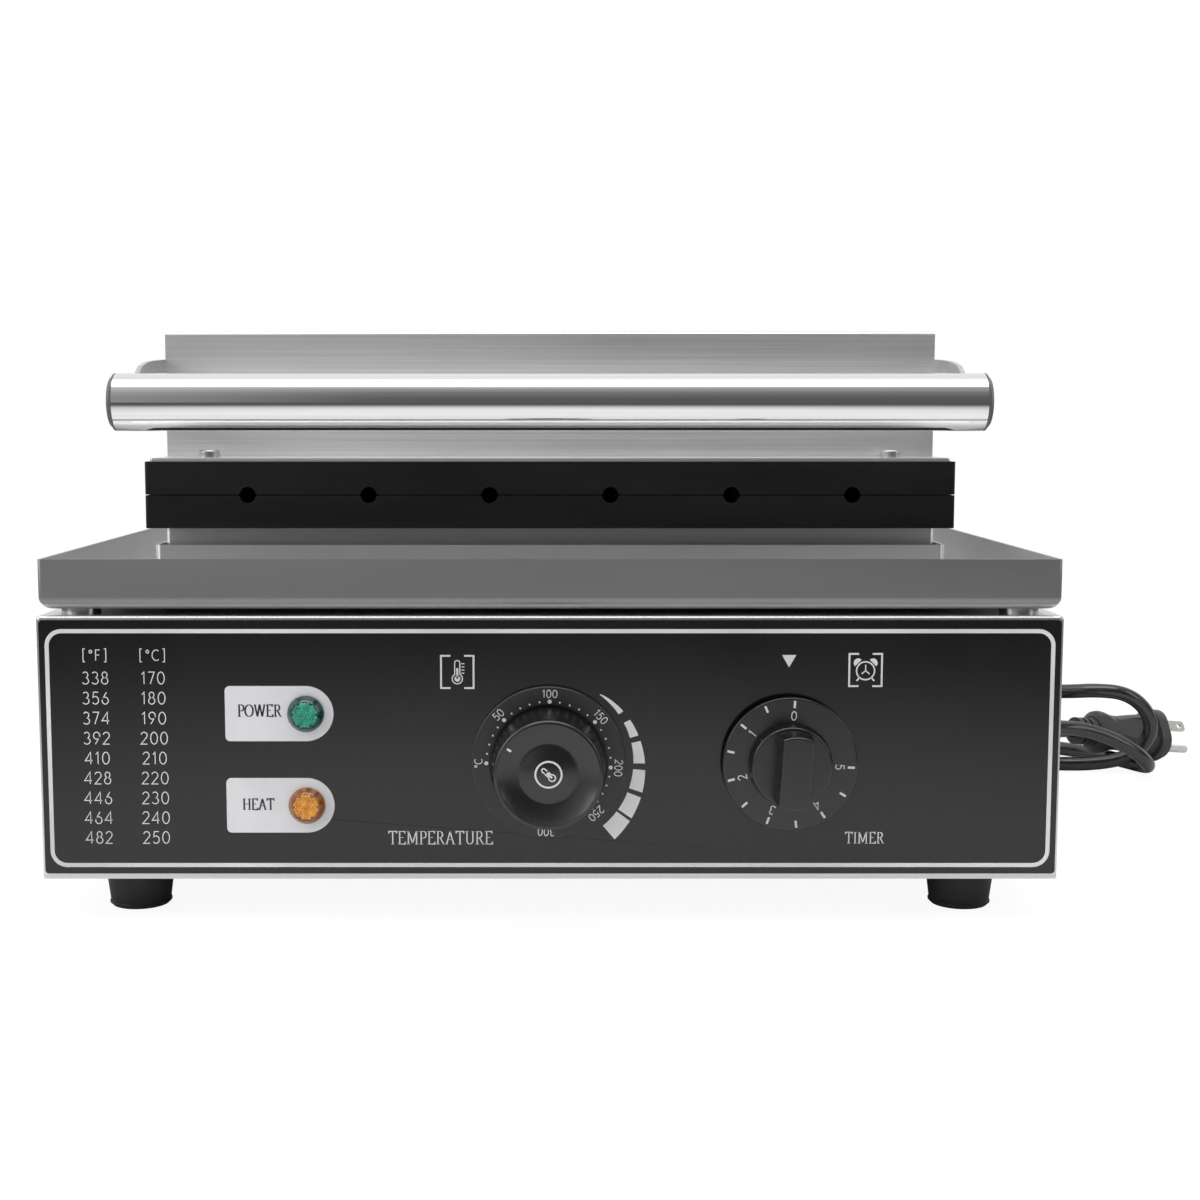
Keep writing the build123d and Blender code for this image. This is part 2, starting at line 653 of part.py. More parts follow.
# Label plates beside the lamps: square at the left, round at the right
with BuildPart() as lamp_label_plates:
    for z in LAMP_HEIGHTS:
        with BuildSketch(front_plane(LABEL_END_X, z, OVERLAY_THICKNESS)):
            with Locations((-LABEL_HEIGHT / 2, 0)):
                Circle(LABEL_HEIGHT / 2)
            straight = LABEL_LENGTH - LABEL_HEIGHT / 2
            with Locations((-LABEL_LENGTH + straight / 2, 0)):
                Rectangle(straight, LABEL_HEIGHT)
            with Locations((-LAMP_FROM_LABEL_END, 0)):
                Circle(LAMP_BODY_RADIUS + HOLE_FIT, mode=Mode.SUBTRACT)
        extrude(amount=LABEL_THICKNESS)
    left_corners = lamp_label_plates.edges().filter_by(Axis.Y).group_by(Axis.X)[0]
    fillet(left_corners, LABEL_CORNER)
lamp_label_plates.part.label = "lamp_label_plates"
export_step(lamp_label_plates.part, "parts/lamp_label_plates.step")

# Lamp lenses: a clear coloured cap with a stepped rim, and a body and nut behind the panel
LABEL_FRONT = OVERLAY_THICKNESS + LABEL_THICKNESS


def lamp_lens(z):
    """The lens of the lamp at height z."""
    with BuildPart() as lens:
        with BuildSketch(turning_plane(LAMP_X, z)):
            with BuildLine():
                Polyline(
                    (0, LABEL_FRONT),
                    (LENS_RADIUS, LABEL_FRONT),
                    (LENS_RADIUS, LABEL_FRONT + LENS_RIM),
                    (LENS_FACE_RADIUS + LENS_STEP, LABEL_FRONT + LENS_REACH - LENS_STEP),
                    (LENS_FACE_RADIUS, LABEL_FRONT + LENS_REACH),
                    (0, LABEL_FRONT + LENS_REACH),
                    close=True,
                )
            make_face()
        revolve(axis=outward_axis(LAMP_X, z))
    return lens.part


power_lamp_lens = lamp_lens(LAMP_HEIGHTS[0])
power_lamp_lens.label = "power_lamp_lens"
export_step(power_lamp_lens, "parts/power_lamp_lens.step")
heat_lamp_lens = lamp_lens(LAMP_HEIGHTS[1])
heat_lamp_lens.label = "heat_lamp_lens"
export_step(heat_lamp_lens, "parts/heat_lamp_lens.step")

with BuildPart() as lamp_bodies:
    for z in LAMP_HEIGHTS:
        with BuildSketch(front_plane(LAMP_X, z, LABEL_FRONT)):
            Circle(LAMP_BODY_RADIUS)
        extrude(amount=-LAMP_BODY_LENGTH)
        with BuildSketch(front_plane(LAMP_X, z, LABEL_FRONT - LAMP_BODY_LENGTH)):
            with Locations((-LAMP_BODY_RADIUS / 2, 0), (LAMP_BODY_RADIUS / 2, 0)):
                Rectangle(TAB_THICKNESS, LAMP_TAB * 0.8)
        extrude(amount=-LAMP_TAB)
lamp_bodies.part.label = "lamp_bodies"
export_step(lamp_bodies.part, "parts/lamp_bodies.step")

lamp_nut = hex_nut(LAMP_BODY_RADIUS + FIT, LAMP_NUT_WIDTH, LAMP_NUT_THICKNESS)
with BuildPart() as lamp_nuts:
    for z in LAMP_HEIGHTS:
        with Locations(front_plane(LAMP_X, z, -SHEET - LAMP_NUT_THICKNESS)):
            add(lamp_nut)
lamp_nuts.part.label = "lamp_nuts"
export_step(lamp_nuts.part, "parts/lamp_nuts.step")

# Dial ring: a dish whose floor is held by the thermostat's screws
with BuildPart() as temperature_dial_ring:
    with BuildSketch(front_plane(THERMOSTAT_X, DIAL_HEIGHT, OVERLAY_THICKNESS)):
        Circle(RING_RADIUS)
        Circle(CONTROL_BOSS_RADIUS + HOLE_FIT, mode=Mode.SUBTRACT)
        with Locations((-THERMOSTAT_SCREW_SPACING / 2, 0), (THERMOSTAT_SCREW_SPACING / 2, 0)):
            Circle(CONTROL_SCREW_RADIUS + HOLE_FIT, mode=Mode.SUBTRACT)
    extrude(amount=RING_THICKNESS)
    fillet(temperature_dial_ring.faces().sort_by(Axis.Y)[0].outer_wire().edges(), RING_EDGE)
    with BuildSketch(
        front_plane(THERMOSTAT_X, DIAL_HEIGHT, OVERLAY_THICKNESS + RING_THICKNESS)
    ):
        Circle(RING_INNER_RADIUS)
    extrude(amount=RING_FLOOR - RING_THICKNESS, mode=Mode.SUBTRACT)
temperature_dial_ring.part.label = "temperature_dial_ring"
export_step(temperature_dial_ring.part, "parts/temperature_dial_ring.step")


def dial_shaft(x, reach):
    """A control's shaft, round inside and with a flat where the knob grips it."""
    with BuildPart() as shaft:
        with BuildSketch(front_plane(x, DIAL_HEIGHT, -SHAFT_INSIDE)):
            Circle(SHAFT_RADIUS)
        extrude(amount=SHAFT_INSIDE + reach)
        with BuildSketch(front_plane(x, DIAL_HEIGHT, reach)):
            with Locations((0, SHAFT_FLAT + SHAFT_RADIUS)):
                Rectangle(4 * SHAFT_RADIUS, 2 * SHAFT_RADIUS)
        extrude(amount=-SHAFT_GRIP + SHAFT_RADIUS, mode=Mode.SUBTRACT)
    return shaft.part


def shaft_hole(x, reach):
    """The D-shaped hole of a knob for its shaft, as a solid to cut away."""
    with BuildPart() as hole:
        with BuildSketch(front_plane(x, DIAL_HEIGHT, 0)):
            Circle(SHAFT_RADIUS + FIT)
        extrude(amount=reach + FIT)
        with BuildSketch(front_plane(x, DIAL_HEIGHT, reach + FIT)):
            with Locations((0, SHAFT_FLAT + FIT + SHAFT_RADIUS)):
                Rectangle(4 * SHAFT_RADIUS, 2 * SHAFT_RADIUS)
        extrude(amount=-SHAFT_GRIP + SHAFT_RADIUS - FIT, mode=Mode.SUBTRACT)
    return hole.part


# Temperature knob: a hollow cup with a dished face and a low dome in its middle
KNOB_BACK = OVERLAY_THICKNESS + RING_FLOOR + KNOB_LIFT
KNOB_SHAFT_REACH = KNOB_REACH - SHAFT_FROM_FACE
with BuildPart() as temperature_knob:
    with BuildSketch(turning_plane(THERMOSTAT_X, DIAL_HEIGHT)):
        with BuildLine():
            dish_start = (KNOB_FRONT_RADIUS - KNOB_EDGE, KNOB_REACH)
            dish_end = (KNOB_DISH_RADIUS, KNOB_REACH - KNOB_DISH_DEPTH)
            dome_top = (0, dish_end[1] + KNOB_DOME)
            dome_sphere = (KNOB_DISH_RADIUS**2 + KNOB_DOME**2) / (2 * KNOB_DOME)
            dome_half = asin(KNOB_DISH_RADIUS / dome_sphere) / 2
            dome_middle = (
                dome_sphere * sin(dome_half),
                dome_top[1] - dome_sphere * (1 - cos(dome_half)),
            )
            inner_top = KNOB_REACH - KNOB_DISH_DEPTH - KNOB_WALL
            Polyline(
                (HUB_RADIUS, KNOB_BACK + KNOB_HUB_RECESS),
                (HUB_RADIUS, inner_top),
                (KNOB_FRONT_RADIUS - KNOB_WALL, inner_top),
                (KNOB_BACK_RADIUS - KNOB_WALL, KNOB_BACK),
                (KNOB_BACK_RADIUS, KNOB_BACK),
                (KNOB_FRONT_RADIUS, KNOB_REACH - KNOB_EDGE),
            )
            ThreePointArc(
                (KNOB_FRONT_RADIUS, KNOB_REACH - KNOB_EDGE),
                (KNOB_FRONT_RADIUS - 0.3 * KNOB_EDGE, KNOB_REACH - 0.3 * KNOB_EDGE),
                dish_start,
            )
            ThreePointArc(
                dish_start,
                (
                    (dish_start[0] + dish_end[0]) / 2,
                    (dish_start[1] + dish_end[1]) / 2 - 0.5,
                ),
                dish_end,
            )
            ThreePointArc(dish_end, dome_middle, dome_top)
            Polyline(
                dome_top,
                (0, KNOB_BACK + KNOB_HUB_RECESS),
                (HUB_RADIUS, KNOB_BACK + KNOB_HUB_RECESS),
            )
        make_face()
    revolve(axis=outward_axis(THERMOSTAT_X, DIAL_HEIGHT))
    add(shaft_hole(THERMOSTAT_X, KNOB_SHAFT_REACH), mode=Mode.SUBTRACT)
temperature_knob.part.label = "temperature_knob"
export_step(temperature_knob.part, "parts/temperature_knob.step")

thermostat_shaft = dial_shaft(THERMOSTAT_X, KNOB_SHAFT_REACH)
thermostat_shaft.label = "thermostat_shaft"
export_step(thermostat_shaft, "parts/thermostat_shaft.step")


def control_body(x, width, height, depth, boss_front, spacing):
    """The case of a thermostat or a timer behind the panel, with its boss and terminals."""
    with BuildPart() as body:
        with BuildSketch(front_plane(x, DIAL_HEIGHT, -SHEET)):
            RectangleRounded(width, height, CONTROL_CORNER)
        extrude(amount=-depth)
        fillet(body.faces().sort_by(Axis.Y)[-1].edges(), CONTROL_EDGE)
        with BuildSketch(front_plane(x, DIAL_HEIGHT, -SHEET)):
            Circle(CONTROL_BOSS_RADIUS)
        extrude(amount=SHEET + boss_front)
        with BuildSketch(front_plane(x, DIAL_HEIGHT, -SHEET - depth)):
            with GridLocations(width / 4, height / 3, 3, 2):
                Rectangle(CONTROL_TAB_WIDTH, TAB_THICKNESS)
        extrude(amount=-CONTROL_TAB)
        with BuildSketch(front_plane(x, DIAL_HEIGHT, boss_front)):
            Circle(SHAFT_RADIUS + RUNNING_FIT)
        extrude(amount=-boss_front - SHAFT_INSIDE - 1.0, mode=Mode.SUBTRACT)
        with BuildSketch(front_plane(x, DIAL_HEIGHT, -SHEET)):
            with Locations((-spacing / 2, 0), (spacing / 2, 0)):
                Circle(CONTROL_SCREW_RADIUS + FIT)
        extrude(amount=-CONTROL_SCREW_BITE - 2.0, mode=Mode.SUBTRACT)
    return body.part


def control_screws(x, spacing, seat):
    """The two screws that hold a control from the front, with their heads on the seat."""
    screw = pan_screw(CONTROL_SCREW_RADIUS, seat + SHEET + CONTROL_SCREW_BITE)
    with BuildPart() as screws:
        for side in (-1, 1):
            with Locations(front_plane(x + side * spacing / 2, DIAL_HEIGHT, seat)):
                add(screw)
    return screws.part


RING_SEAT = OVERLAY_THICKNESS + RING_FLOOR
thermostat_body = control_body(
    THERMOSTAT_X,
    THERMOSTAT_WIDTH,
    THERMOSTAT_HEIGHT,
    THERMOSTAT_DEPTH,
    RING_SEAT,
    THERMOSTAT_SCREW_SPACING,
)
thermostat_body.label = "thermostat_body"
export_step(thermostat_body, "parts/thermostat_body.step")
thermostat_screws = control_screws(THERMOSTAT_X, THERMOSTAT_SCREW_SPACING, RING_SEAT)
thermostat_screws.label = "thermostat_screws"
export_step(thermostat_screws, "parts/thermostat_screws.step")

# Timer knob: a flat skirt, a round hub and a bar grip across it
SKIRT_BACK = OVERLAY_THICKNESS + SKIRT_LIFT
SKIRT_FACE = SKIRT_BACK + SKIRT_THICKNESS
HUB_FACE = SKIRT_FACE + TIMER_HUB_HEIGHT
GRIP_FACE = HUB_FACE + GRIP_HEIGHT
TIMER_SHAFT_REACH = GRIP_FACE - TIMER_SHAFT_FROM_FACE
with BuildPart() as timer_knob:
    with BuildSketch(front_plane(TIMER_X, DIAL_HEIGHT, SKIRT_BACK)):
        Circle(SKIRT_RADIUS)
    extrude(amount=SKIRT_THICKNESS)
    fillet(timer_knob.faces().sort_by(Axis.Y)[0].edges(), 0.7)
    with BuildSketch(turning_plane(TIMER_X, DIAL_HEIGHT)):
        with BuildLine():
            Polyline(
                (0, SKIRT_FACE - 1.0),
                (TIMER_HUB_RADIUS, SKIRT_FACE - 1.0),
                (TIMER_HUB_RADIUS, SKIRT_FACE),
                (TIMER_HUB_TOP_RADIUS, HUB_FACE),
                (0, HUB_FACE),
                close=True,
            )
        make_face()
    revolve(axis=outward_axis(TIMER_X, DIAL_HEIGHT))
    fillet(timer_knob.edges().filter_by(GeomType.CIRCLE).sort_by(Axis.Y)[0], TIMER_EDGE)
    rest_turn = radians(TIMER_REST_TURN)
    grip_plane = Plane(
        origin=(TIMER_X, FRONT_Y - HUB_FACE + GRIP_ROOT, DIAL_HEIGHT),
        x_dir=(cos(rest_turn), 0, -sin(rest_turn)),
        z_dir=(0, -1, 0),
    )
    with BuildSketch(grip_plane):
        Circle(TIMER_HUB_TOP_RADIUS - TIMER_EDGE)
        Rectangle(GRIP_WIDTH, 3 * TIMER_HUB_RADIUS, mode=Mode.INTERSECT)
    extrude(amount=GRIP_HEIGHT + GRIP_ROOT, taper=GRIP_DRAFT)
    fillet(timer_knob.faces().sort_by(Axis.Y)[0].edges(), TIMER_EDGE)
    add(shaft_hole(TIMER_X, TIMER_SHAFT_REACH), mode=Mode.SUBTRACT)
timer_knob.part.label = "timer_knob"
export_step(timer_knob.part, "parts/timer_knob.step")

timer_shaft = dial_shaft(TIMER_X, TIMER_SHAFT_REACH)
timer_shaft.label = "timer_shaft"
export_step(timer_shaft, "parts/timer_shaft.step")

timer_body = control_body(
    TIMER_X, TIMER_WIDTH, TIMER_WIDTH, TIMER_DEPTH, OVERLAY_THICKNESS, TIMER_SCREW_SPACING
)
timer_body.label = "timer_body"
export_step(timer_body, "parts/timer_body.step")
timer_screws = control_screws(TIMER_X, TIMER_SCREW_SPACING, OVERLAY_THICKNESS)
timer_screws.label = "timer_screws"
export_step(timer_screws, "parts/timer_screws.step")

# Oil tray: an open pan with bent lower edges and a collar round the heater box
TRAY_WIDTH = BASE_WIDTH - 2 * TRAY_MARGIN
TRAY_DEPTH = BASE_DEPTH - 2 * TRAY_MARGIN
with BuildPart() as oil_tray:
    with BuildSketch(Plane.XY.offset(TRAY_BOTTOM)):
        with Locations((0, BASE_MIDDLE_Y)):
            RectangleRounded(TRAY_WIDTH, TRAY_DEPTH, TRAY_CORNER)
    extrude(amount=TRAY_HEIGHT)
    fillet(oil_tray.faces().sort_by(Axis.Z)[0].edges(), TRAY_BEND)
    offset(amount=-SHEET, openings=oil_tray.faces().sort_by(Axis.Z)[-1], kind=Kind.INTERSECTION)
    with BuildSketch(Plane.XY.offset(TRAY_BOTTOM)):
        with Locations((0, FRONT_Y + (COLLAR_FRONT + COLLAR_REAR) / 2)):
            RectangleRounded(COLLAR_WIDTH, COLLAR_REAR - COLLAR_FRONT, COLLAR_CORNER)
    extrude(amount=COLLAR_HEIGHT)
    with BuildSketch(Plane.XY.offset(TRAY_BOTTOM)):
        with Locations((0, FRONT_Y + (COLLAR_FRONT + COLLAR_REAR) / 2)):
            RectangleRounded(
                COLLAR_WIDTH - 2 * SHEET,
                COLLAR_REAR - COLLAR_FRONT - 2 * SHEET,
                COLLAR_CORNER - SHEET,
            )
    extrude(amount=COLLAR_HEIGHT, mode=Mode.SUBTRACT)
    with BuildSketch(Plane.XY.offset(TRAY_BOTTOM)):
        with Locations(*TRAY_SCREW_PLACES):
            Circle(M4 + HOLE_FIT)
    extrude(amount=SHEET, mode=Mode.SUBTRACT)
oil_tray.part.label = "oil_tray"
export_step(oil_tray.part, "parts/oil_tray.step")

# Spacers that hold the tray off the base, and the screws through them
with BuildPart() as tray_spacers:
    with BuildSketch(Plane.XY.offset(BASE_TOP)):
        with Locations(*TRAY_SCREW_PLACES):
            Circle(SPACER_RADIUS)
            Circle(M4 + HOLE_FIT, mode=Mode.SUBTRACT)
    extrude(amount=TRAY_GAP)
tray_spacers.part.label = "tray_spacers"
export_step(tray_spacers.part, "parts/tray_spacers.step")

tray_screw = pan_screw(M4, SHEET + TRAY_GAP + SHEET + M4_NUT[1] + SCREW_SPARE)
tray_nut = hex_nut(M4 + FIT, *M4_NUT)
with BuildPart() as tray_screws:
    for x, y in TRAY_SCREW_PLACES:
        with Locations((x, y, TRAY_FLOOR)):
            add(tray_screw)
        with Locations((x, y, BASE_INNER_TOP - M4_NUT[1])):
            add(tray_nut)
tray_screws.part.label = "tray_screws"
export_step(tray_screws.part, "parts/tray_screws.step")


# Lower heater box: four walls on the base with a flange turned in at the bottom
LOWER_BOX_MIDDLE_Y = FRONT_Y + (LOWER_BOX_FRONT + BOX_REAR) / 2
LOWER_BOX_DEPTH = BOX_REAR - LOWER_BOX_FRONT
with BuildPart() as lower_heater_box:
    with BuildSketch(Plane.XY.offset(BASE_TOP)):
        with Locations((0, LOWER_BOX_MIDDLE_Y)):
            Rectangle(HEATER_WIDTH, LOWER_BOX_DEPTH)
    extrude(amount=LOWER_BOX_HEIGHT)
    fillet(lower_heater_box.edges().filter_by(Axis.Z), BASE_BEND)
    with BuildSketch(Plane.XY.offset(BASE_TOP + SHEET)):
        with Locations((0, LOWER_BOX_MIDDLE_Y)):
            Rectangle(HEATER_WIDTH - 2 * SHEET, LOWER_BOX_DEPTH - 2 * SHEET)
    extrude(amount=LOWER_BOX_HEIGHT, mode=Mode.SUBTRACT)
    with BuildSketch(Plane.XY.offset(BASE_TOP)):
        with Locations((0, LOWER_BOX_MIDDLE_Y)):
            Rectangle(HEATER_WIDTH - 2 * LOWER_FLANGE, LOWER_BOX_DEPTH - 2 * LOWER_FLANGE)
        with Locations(*STUD_PLACES):
            Circle(M6 + HOLE_FIT)
    extrude(amount=SHEET, mode=Mode.SUBTRACT)
    with BuildSketch(Plane.XZ.offset(-(FRONT_Y + BOX_REAR))):
        for x in (-HINGE_X, HINGE_X):
            with Locations(*[(x, z) for z in BRACKET_SCREW_HEIGHTS]):
                Circle(M4 + HOLE_FIT)
    extrude(amount=SHEET, mode=Mode.SUBTRACT)
lower_heater_box.part.label = "lower_heater_box"
export_step(lower_heater_box.part, "parts/lower_heater_box.step")

# One cavity with its stick channel, round the line where the moulds meet
CAVITY_FRONT_Y = FRONT_Y + MOULD_FRONT + CAVITY_FROM_FRONT
CAVITY_REAR_Y = CAVITY_FRONT_Y + CAVITY_LENGTH
with BuildPart() as cavity:
    with BuildSketch(Plane.XY.offset(PARTING_Z)):
        with BuildLine():
            channel_start = (STICK_RADIUS, FRONT_Y + MOULD_FRONT - 1.0)
            nose_y = CAVITY_FRONT_Y + CAVITY_RADIUS
            tail_y = CAVITY_REAR_Y - CAVITY_RADIUS
            reach = CAVITY_RADIUS * sin(pi / 4)
            meeting_y = nose_y - sqrt(CAVITY_RADIUS**2 - STICK_RADIUS**2)
            Polyline((0, channel_start[1]), channel_start, (STICK_RADIUS, meeting_y))
            ThreePointArc(
                (STICK_RADIUS, meeting_y), (reach, nose_y - reach), (CAVITY_RADIUS, nose_y)
            )
            Line((CAVITY_RADIUS, nose_y), (CAVITY_RADIUS, tail_y))
            ThreePointArc(
                (CAVITY_RADIUS, tail_y), (reach, tail_y + reach), (0, CAVITY_REAR_Y)
            )
            Line((0, CAVITY_REAR_Y), (0, channel_start[1]))
        make_face()
    revolve(axis=Axis((0, 0, PARTING_Z), (0, 1, 0)))
CAVITY_PLACES = [
    ((index - (CAVITY_COUNT - 1) / 2) * CAVITY_PITCH, 0) for index in range(CAVITY_COUNT)
]
BLOCK_HALF = HEATER_HALF - SHEET - MOULD_BLOCK_GAP
BLOCK_REAR = BOX_REAR - SHEET - MOULD_BLOCK_GAP


def mould_half(face_z, away, box_front, fixings, fixing_radius, fixing_z, fixing_depth):
    """One mould: a rim with a block behind it and half of each cavity cut into its face."""
    block_front = box_front + SHEET + MOULD_BLOCK_GAP
    with BuildPart() as half:
        with BuildSketch(Plane.XY.offset(face_z)):
            with Locations((0, MOULD_MIDDLE_Y)):
                RectangleRounded(MOULD_WIDTH, MOULD_DEPTH, MOULD_CORNER)
        extrude(amount=away * MOULD_RIM)
        with BuildSketch(Plane.XY.offset(face_z + away * MOULD_RIM)):
            with Locations((0, FRONT_Y + (block_front + BLOCK_REAR) / 2)):
                Rectangle(2 * BLOCK_HALF, BLOCK_REAR - block_front)
        extrude(amount=away * MOULD_BLOCK)
        with Locations(*CAVITY_PLACES):
            add(cavity.part, mode=Mode.SUBTRACT)
        face = half.faces().sort_by(Axis.Z)[-1 if away < 0 else 0]
        side_reach = MOULD_WIDTH / 2 - 2 * MOULD_CORNER
        depth_reach = MOULD_DEPTH / 2 - 2 * MOULD_CORNER
        cavity_edges = face.edges().filter_by(
            lambda edge: abs(edge.center().X) < side_reach
            and abs(edge.center().Y - MOULD_MIDDLE_Y) < depth_reach
        )
        fillet(cavity_edges, CAVITY_EDGE)
        with BuildSketch(Plane.XY.offset(face_z + away * (MOULD_RIM + MOULD_BLOCK))):
            with Locations(*CLAMP_SCREW_PLACES):
                Circle(M5 + FIT)
        extrude(amount=-away * (SCREW_BITE + 1.0), mode=Mode.SUBTRACT)
        with BuildSketch(Plane.XY.offset(fixing_z)):
            with Locations(*fixings):
                Circle(fixing_radius + FIT)
        extrude(amount=-away * fixing_depth, mode=Mode.SUBTRACT)
    return half.part


LOWER_BLOCK_BOTTOM = LOWER_MOULD_BOTTOM - MOULD_BLOCK
lower_mould = mould_half(
    LOWER_MOULD_TOP, -1, LOWER_BOX_FRONT, STUD_PLACES, M6, LOWER_BLOCK_BOTTOM, SCREW_BITE + 2.0
)
lower_mould.label = "lower_mould"
export_step(lower_mould, "parts/lower_mould.step")

# Studs that pull the lower mould and its box down on the base, with their nuts
stud_nut = hex_nut(M6 + FIT, *M6_NUT)
with BuildPart() as lower_mould_studs:
    with BuildSketch(Plane.XY.offset(BASE_TOP - STUD_BELOW)):
        with Locations(*STUD_PLACES):
            Circle(M6)
    extrude(amount=LOWER_BLOCK_BOTTOM + SCREW_BITE - BASE_TOP + STUD_BELOW)
    for x, y in STUD_PLACES:
        with Locations((x, y, BASE_INNER_TOP - M6_NUT[1])):
            add(stud_nut)
lower_mould_studs.part.label = "lower_mould_studs"
export_step(lower_mould_studs.part, "parts/lower_mould_studs.step")


def heating_element(middle_z, away):
    """A tubular element: four runs side by side, with both legs bent away from the mould."""
    turn_x = ELEMENT_RUN_HALF + ELEMENT_PITCH / 2
    runs = [FRONT_Y + ELEMENT_FIRST_RUN + index * ELEMENT_PITCH for index in range(4)]
    end_z = middle_z + away * ELEMENT_LEG
    points = [
        (-ELEMENT_LEG_X, runs[0], end_z),
        (-ELEMENT_LEG_X, runs[0], middle_z),
        (turn_x, runs[0], middle_z),
        (turn_x, runs[1], middle_z),
        (-turn_x, runs[1], middle_z),
        (-turn_x, runs[2], middle_z),
        (turn_x, runs[2], middle_z),
        (turn_x, runs[3], middle_z),
        (-ELEMENT_LEG_X, runs[3], middle_z),
        (-ELEMENT_LEG_X, runs[3], end_z),
    ]
    turn = ELEMENT_PITCH / 2 - 0.5
    radii = [ELEMENT_BEND] + [turn] * 6 + [ELEMENT_BEND]
    with BuildPart() as element:
        with BuildLine():
            path = FilletPolyline(*points, radius=radii)
        with BuildSketch(Plane(origin=points[0], z_dir=(0, 0, -away))):
            Circle(ELEMENT_RADIUS)
        sweep(path=path)
    return element.part


def clamp_plate(bottom_z):
    """The plate that presses an element against its mould."""
    with BuildPart() as plate:
        with BuildSketch(Plane.XY.offset(bottom_z)):
            with Locations((0, BULB_Y)):
                RectangleRounded(CLAMP_WIDTH, 3 * ELEMENT_PITCH + 2 * CLAMP_OVERLAP, 4.0)
            with Locations(*CLAMP_SCREW_PLACES):
                Circle(M5 + HOLE_FIT, mode=Mode.SUBTRACT)
            with Locations(SENSOR_PLACE):
                Circle(BULB_RADIUS, mode=Mode.SUBTRACT)
        extrude(amount=CLAMP_THICKNESS)
    return plate.part


def clamp_screws(seat_z, away):
    """The four screws of a clamp plate, with their heads on its outer face."""
    screw = pan_screw(M5, CLAMP_THICKNESS + 2 * ELEMENT_RADIUS + SCREW_BITE)
    with BuildPart() as screws:
        for x, y in CLAMP_SCREW_PLACES:
            with Locations(Plane(origin=(x, y, seat_z), z_dir=(0, 0, away))):
                add(screw)
    return screws.part


LOWER_ELEMENT_Z = LOWER_BLOCK_BOTTOM - ELEMENT_RADIUS
LOWER_CLAMP_BOTTOM = LOWER_BLOCK_BOTTOM - 2 * ELEMENT_RADIUS - CLAMP_THICKNESS
lower_heating_element = heating_element(LOWER_ELEMENT_Z, -1)
lower_heating_element.label = "lower_heating_element"
export_step(lower_heating_element, "parts/lower_heating_element.step")
lower_clamp_plate = clamp_plate(LOWER_CLAMP_BOTTOM)
lower_clamp_plate.label = "lower_clamp_plate"
export_step(lower_clamp_plate, "parts/lower_clamp_plate.step")
lower_clamp_screws = clamp_screws(LOWER_CLAMP_BOTTOM, -1)
lower_clamp_screws.label = "lower_clamp_screws"
export_step(lower_clamp_screws, "parts/lower_clamp_screws.step")

# Insulation pad on the lower box's flange, with holes for what passes through it
PAD_HALF = HEATER_HALF - SHEET - PAD_GAP
with BuildPart() as lower_insulation:
    with BuildSketch(Plane.XY.offset(BASE_TOP + SHEET)):
        with Locations((0, LOWER_BOX_MIDDLE_Y)):
            Rectangle(2 * PAD_HALF, LOWER_BOX_DEPTH - 2 * SHEET - 2 * PAD_GAP)
        with Locations(*STUD_PLACES):
            Circle(M6 + LEG_CLEARANCE, mode=Mode.SUBTRACT)
        with Locations(*LEG_PLACES):
            Circle(ELEMENT_RADIUS + LEG_CLEARANCE, mode=Mode.SUBTRACT)
        with Locations(SENSOR_PLACE):
            Circle(TUBE_RADIUS + LEG_CLEARANCE, mode=Mode.SUBTRACT)
    extrude(amount=LOWER_PAD_THICKNESS)
lower_insulation.part.label = "lower_insulation"
export_step(lower_insulation.part, "parts/lower_insulation.step")

# Sensing tube: a thin capillary from the thermostat to a bulb under the lower mould
CAPILLARY_Z = DIAL_HEIGHT + CAPILLARY_RISE
BULB_Z = LOWER_BLOCK_BOTTOM - BULB_RADIUS
with BuildPart() as sensing_tube:
    with BuildLine():
        capillary_start = (CAPILLARY_X, FRONT_Y + SHEET + THERMOSTAT_DEPTH, CAPILLARY_Z)
        capillary = FilletPolyline(
            capillary_start,
            (CAPILLARY_X, FRONT_Y + CAPILLARY_RUN, CAPILLARY_Z),
            (SENSOR_X, BULB_Y, CAPILLARY_Z),
            (SENSOR_X, BULB_Y, BULB_Z),
            (BULB_LENGTH / 2, BULB_Y, BULB_Z),
            radius=[CAPILLARY_BEND, CAPILLARY_BEND, CAPILLARY_END_BEND],
        )
    with BuildSketch(Plane(origin=capillary_start, z_dir=(0, 1, 0))):
        Circle(TUBE_RADIUS)
    sweep(path=capillary)
    with BuildSketch(Plane(origin=(BULB_LENGTH / 2, BULB_Y, BULB_Z), z_dir=(-1, 0, 0))):
        Circle(BULB_RADIUS)
    extrude(amount=BULB_LENGTH)
sensing_tube.part.label = "sensing_tube"
export_step(sensing_tube.part, "parts/sensing_tube.step")

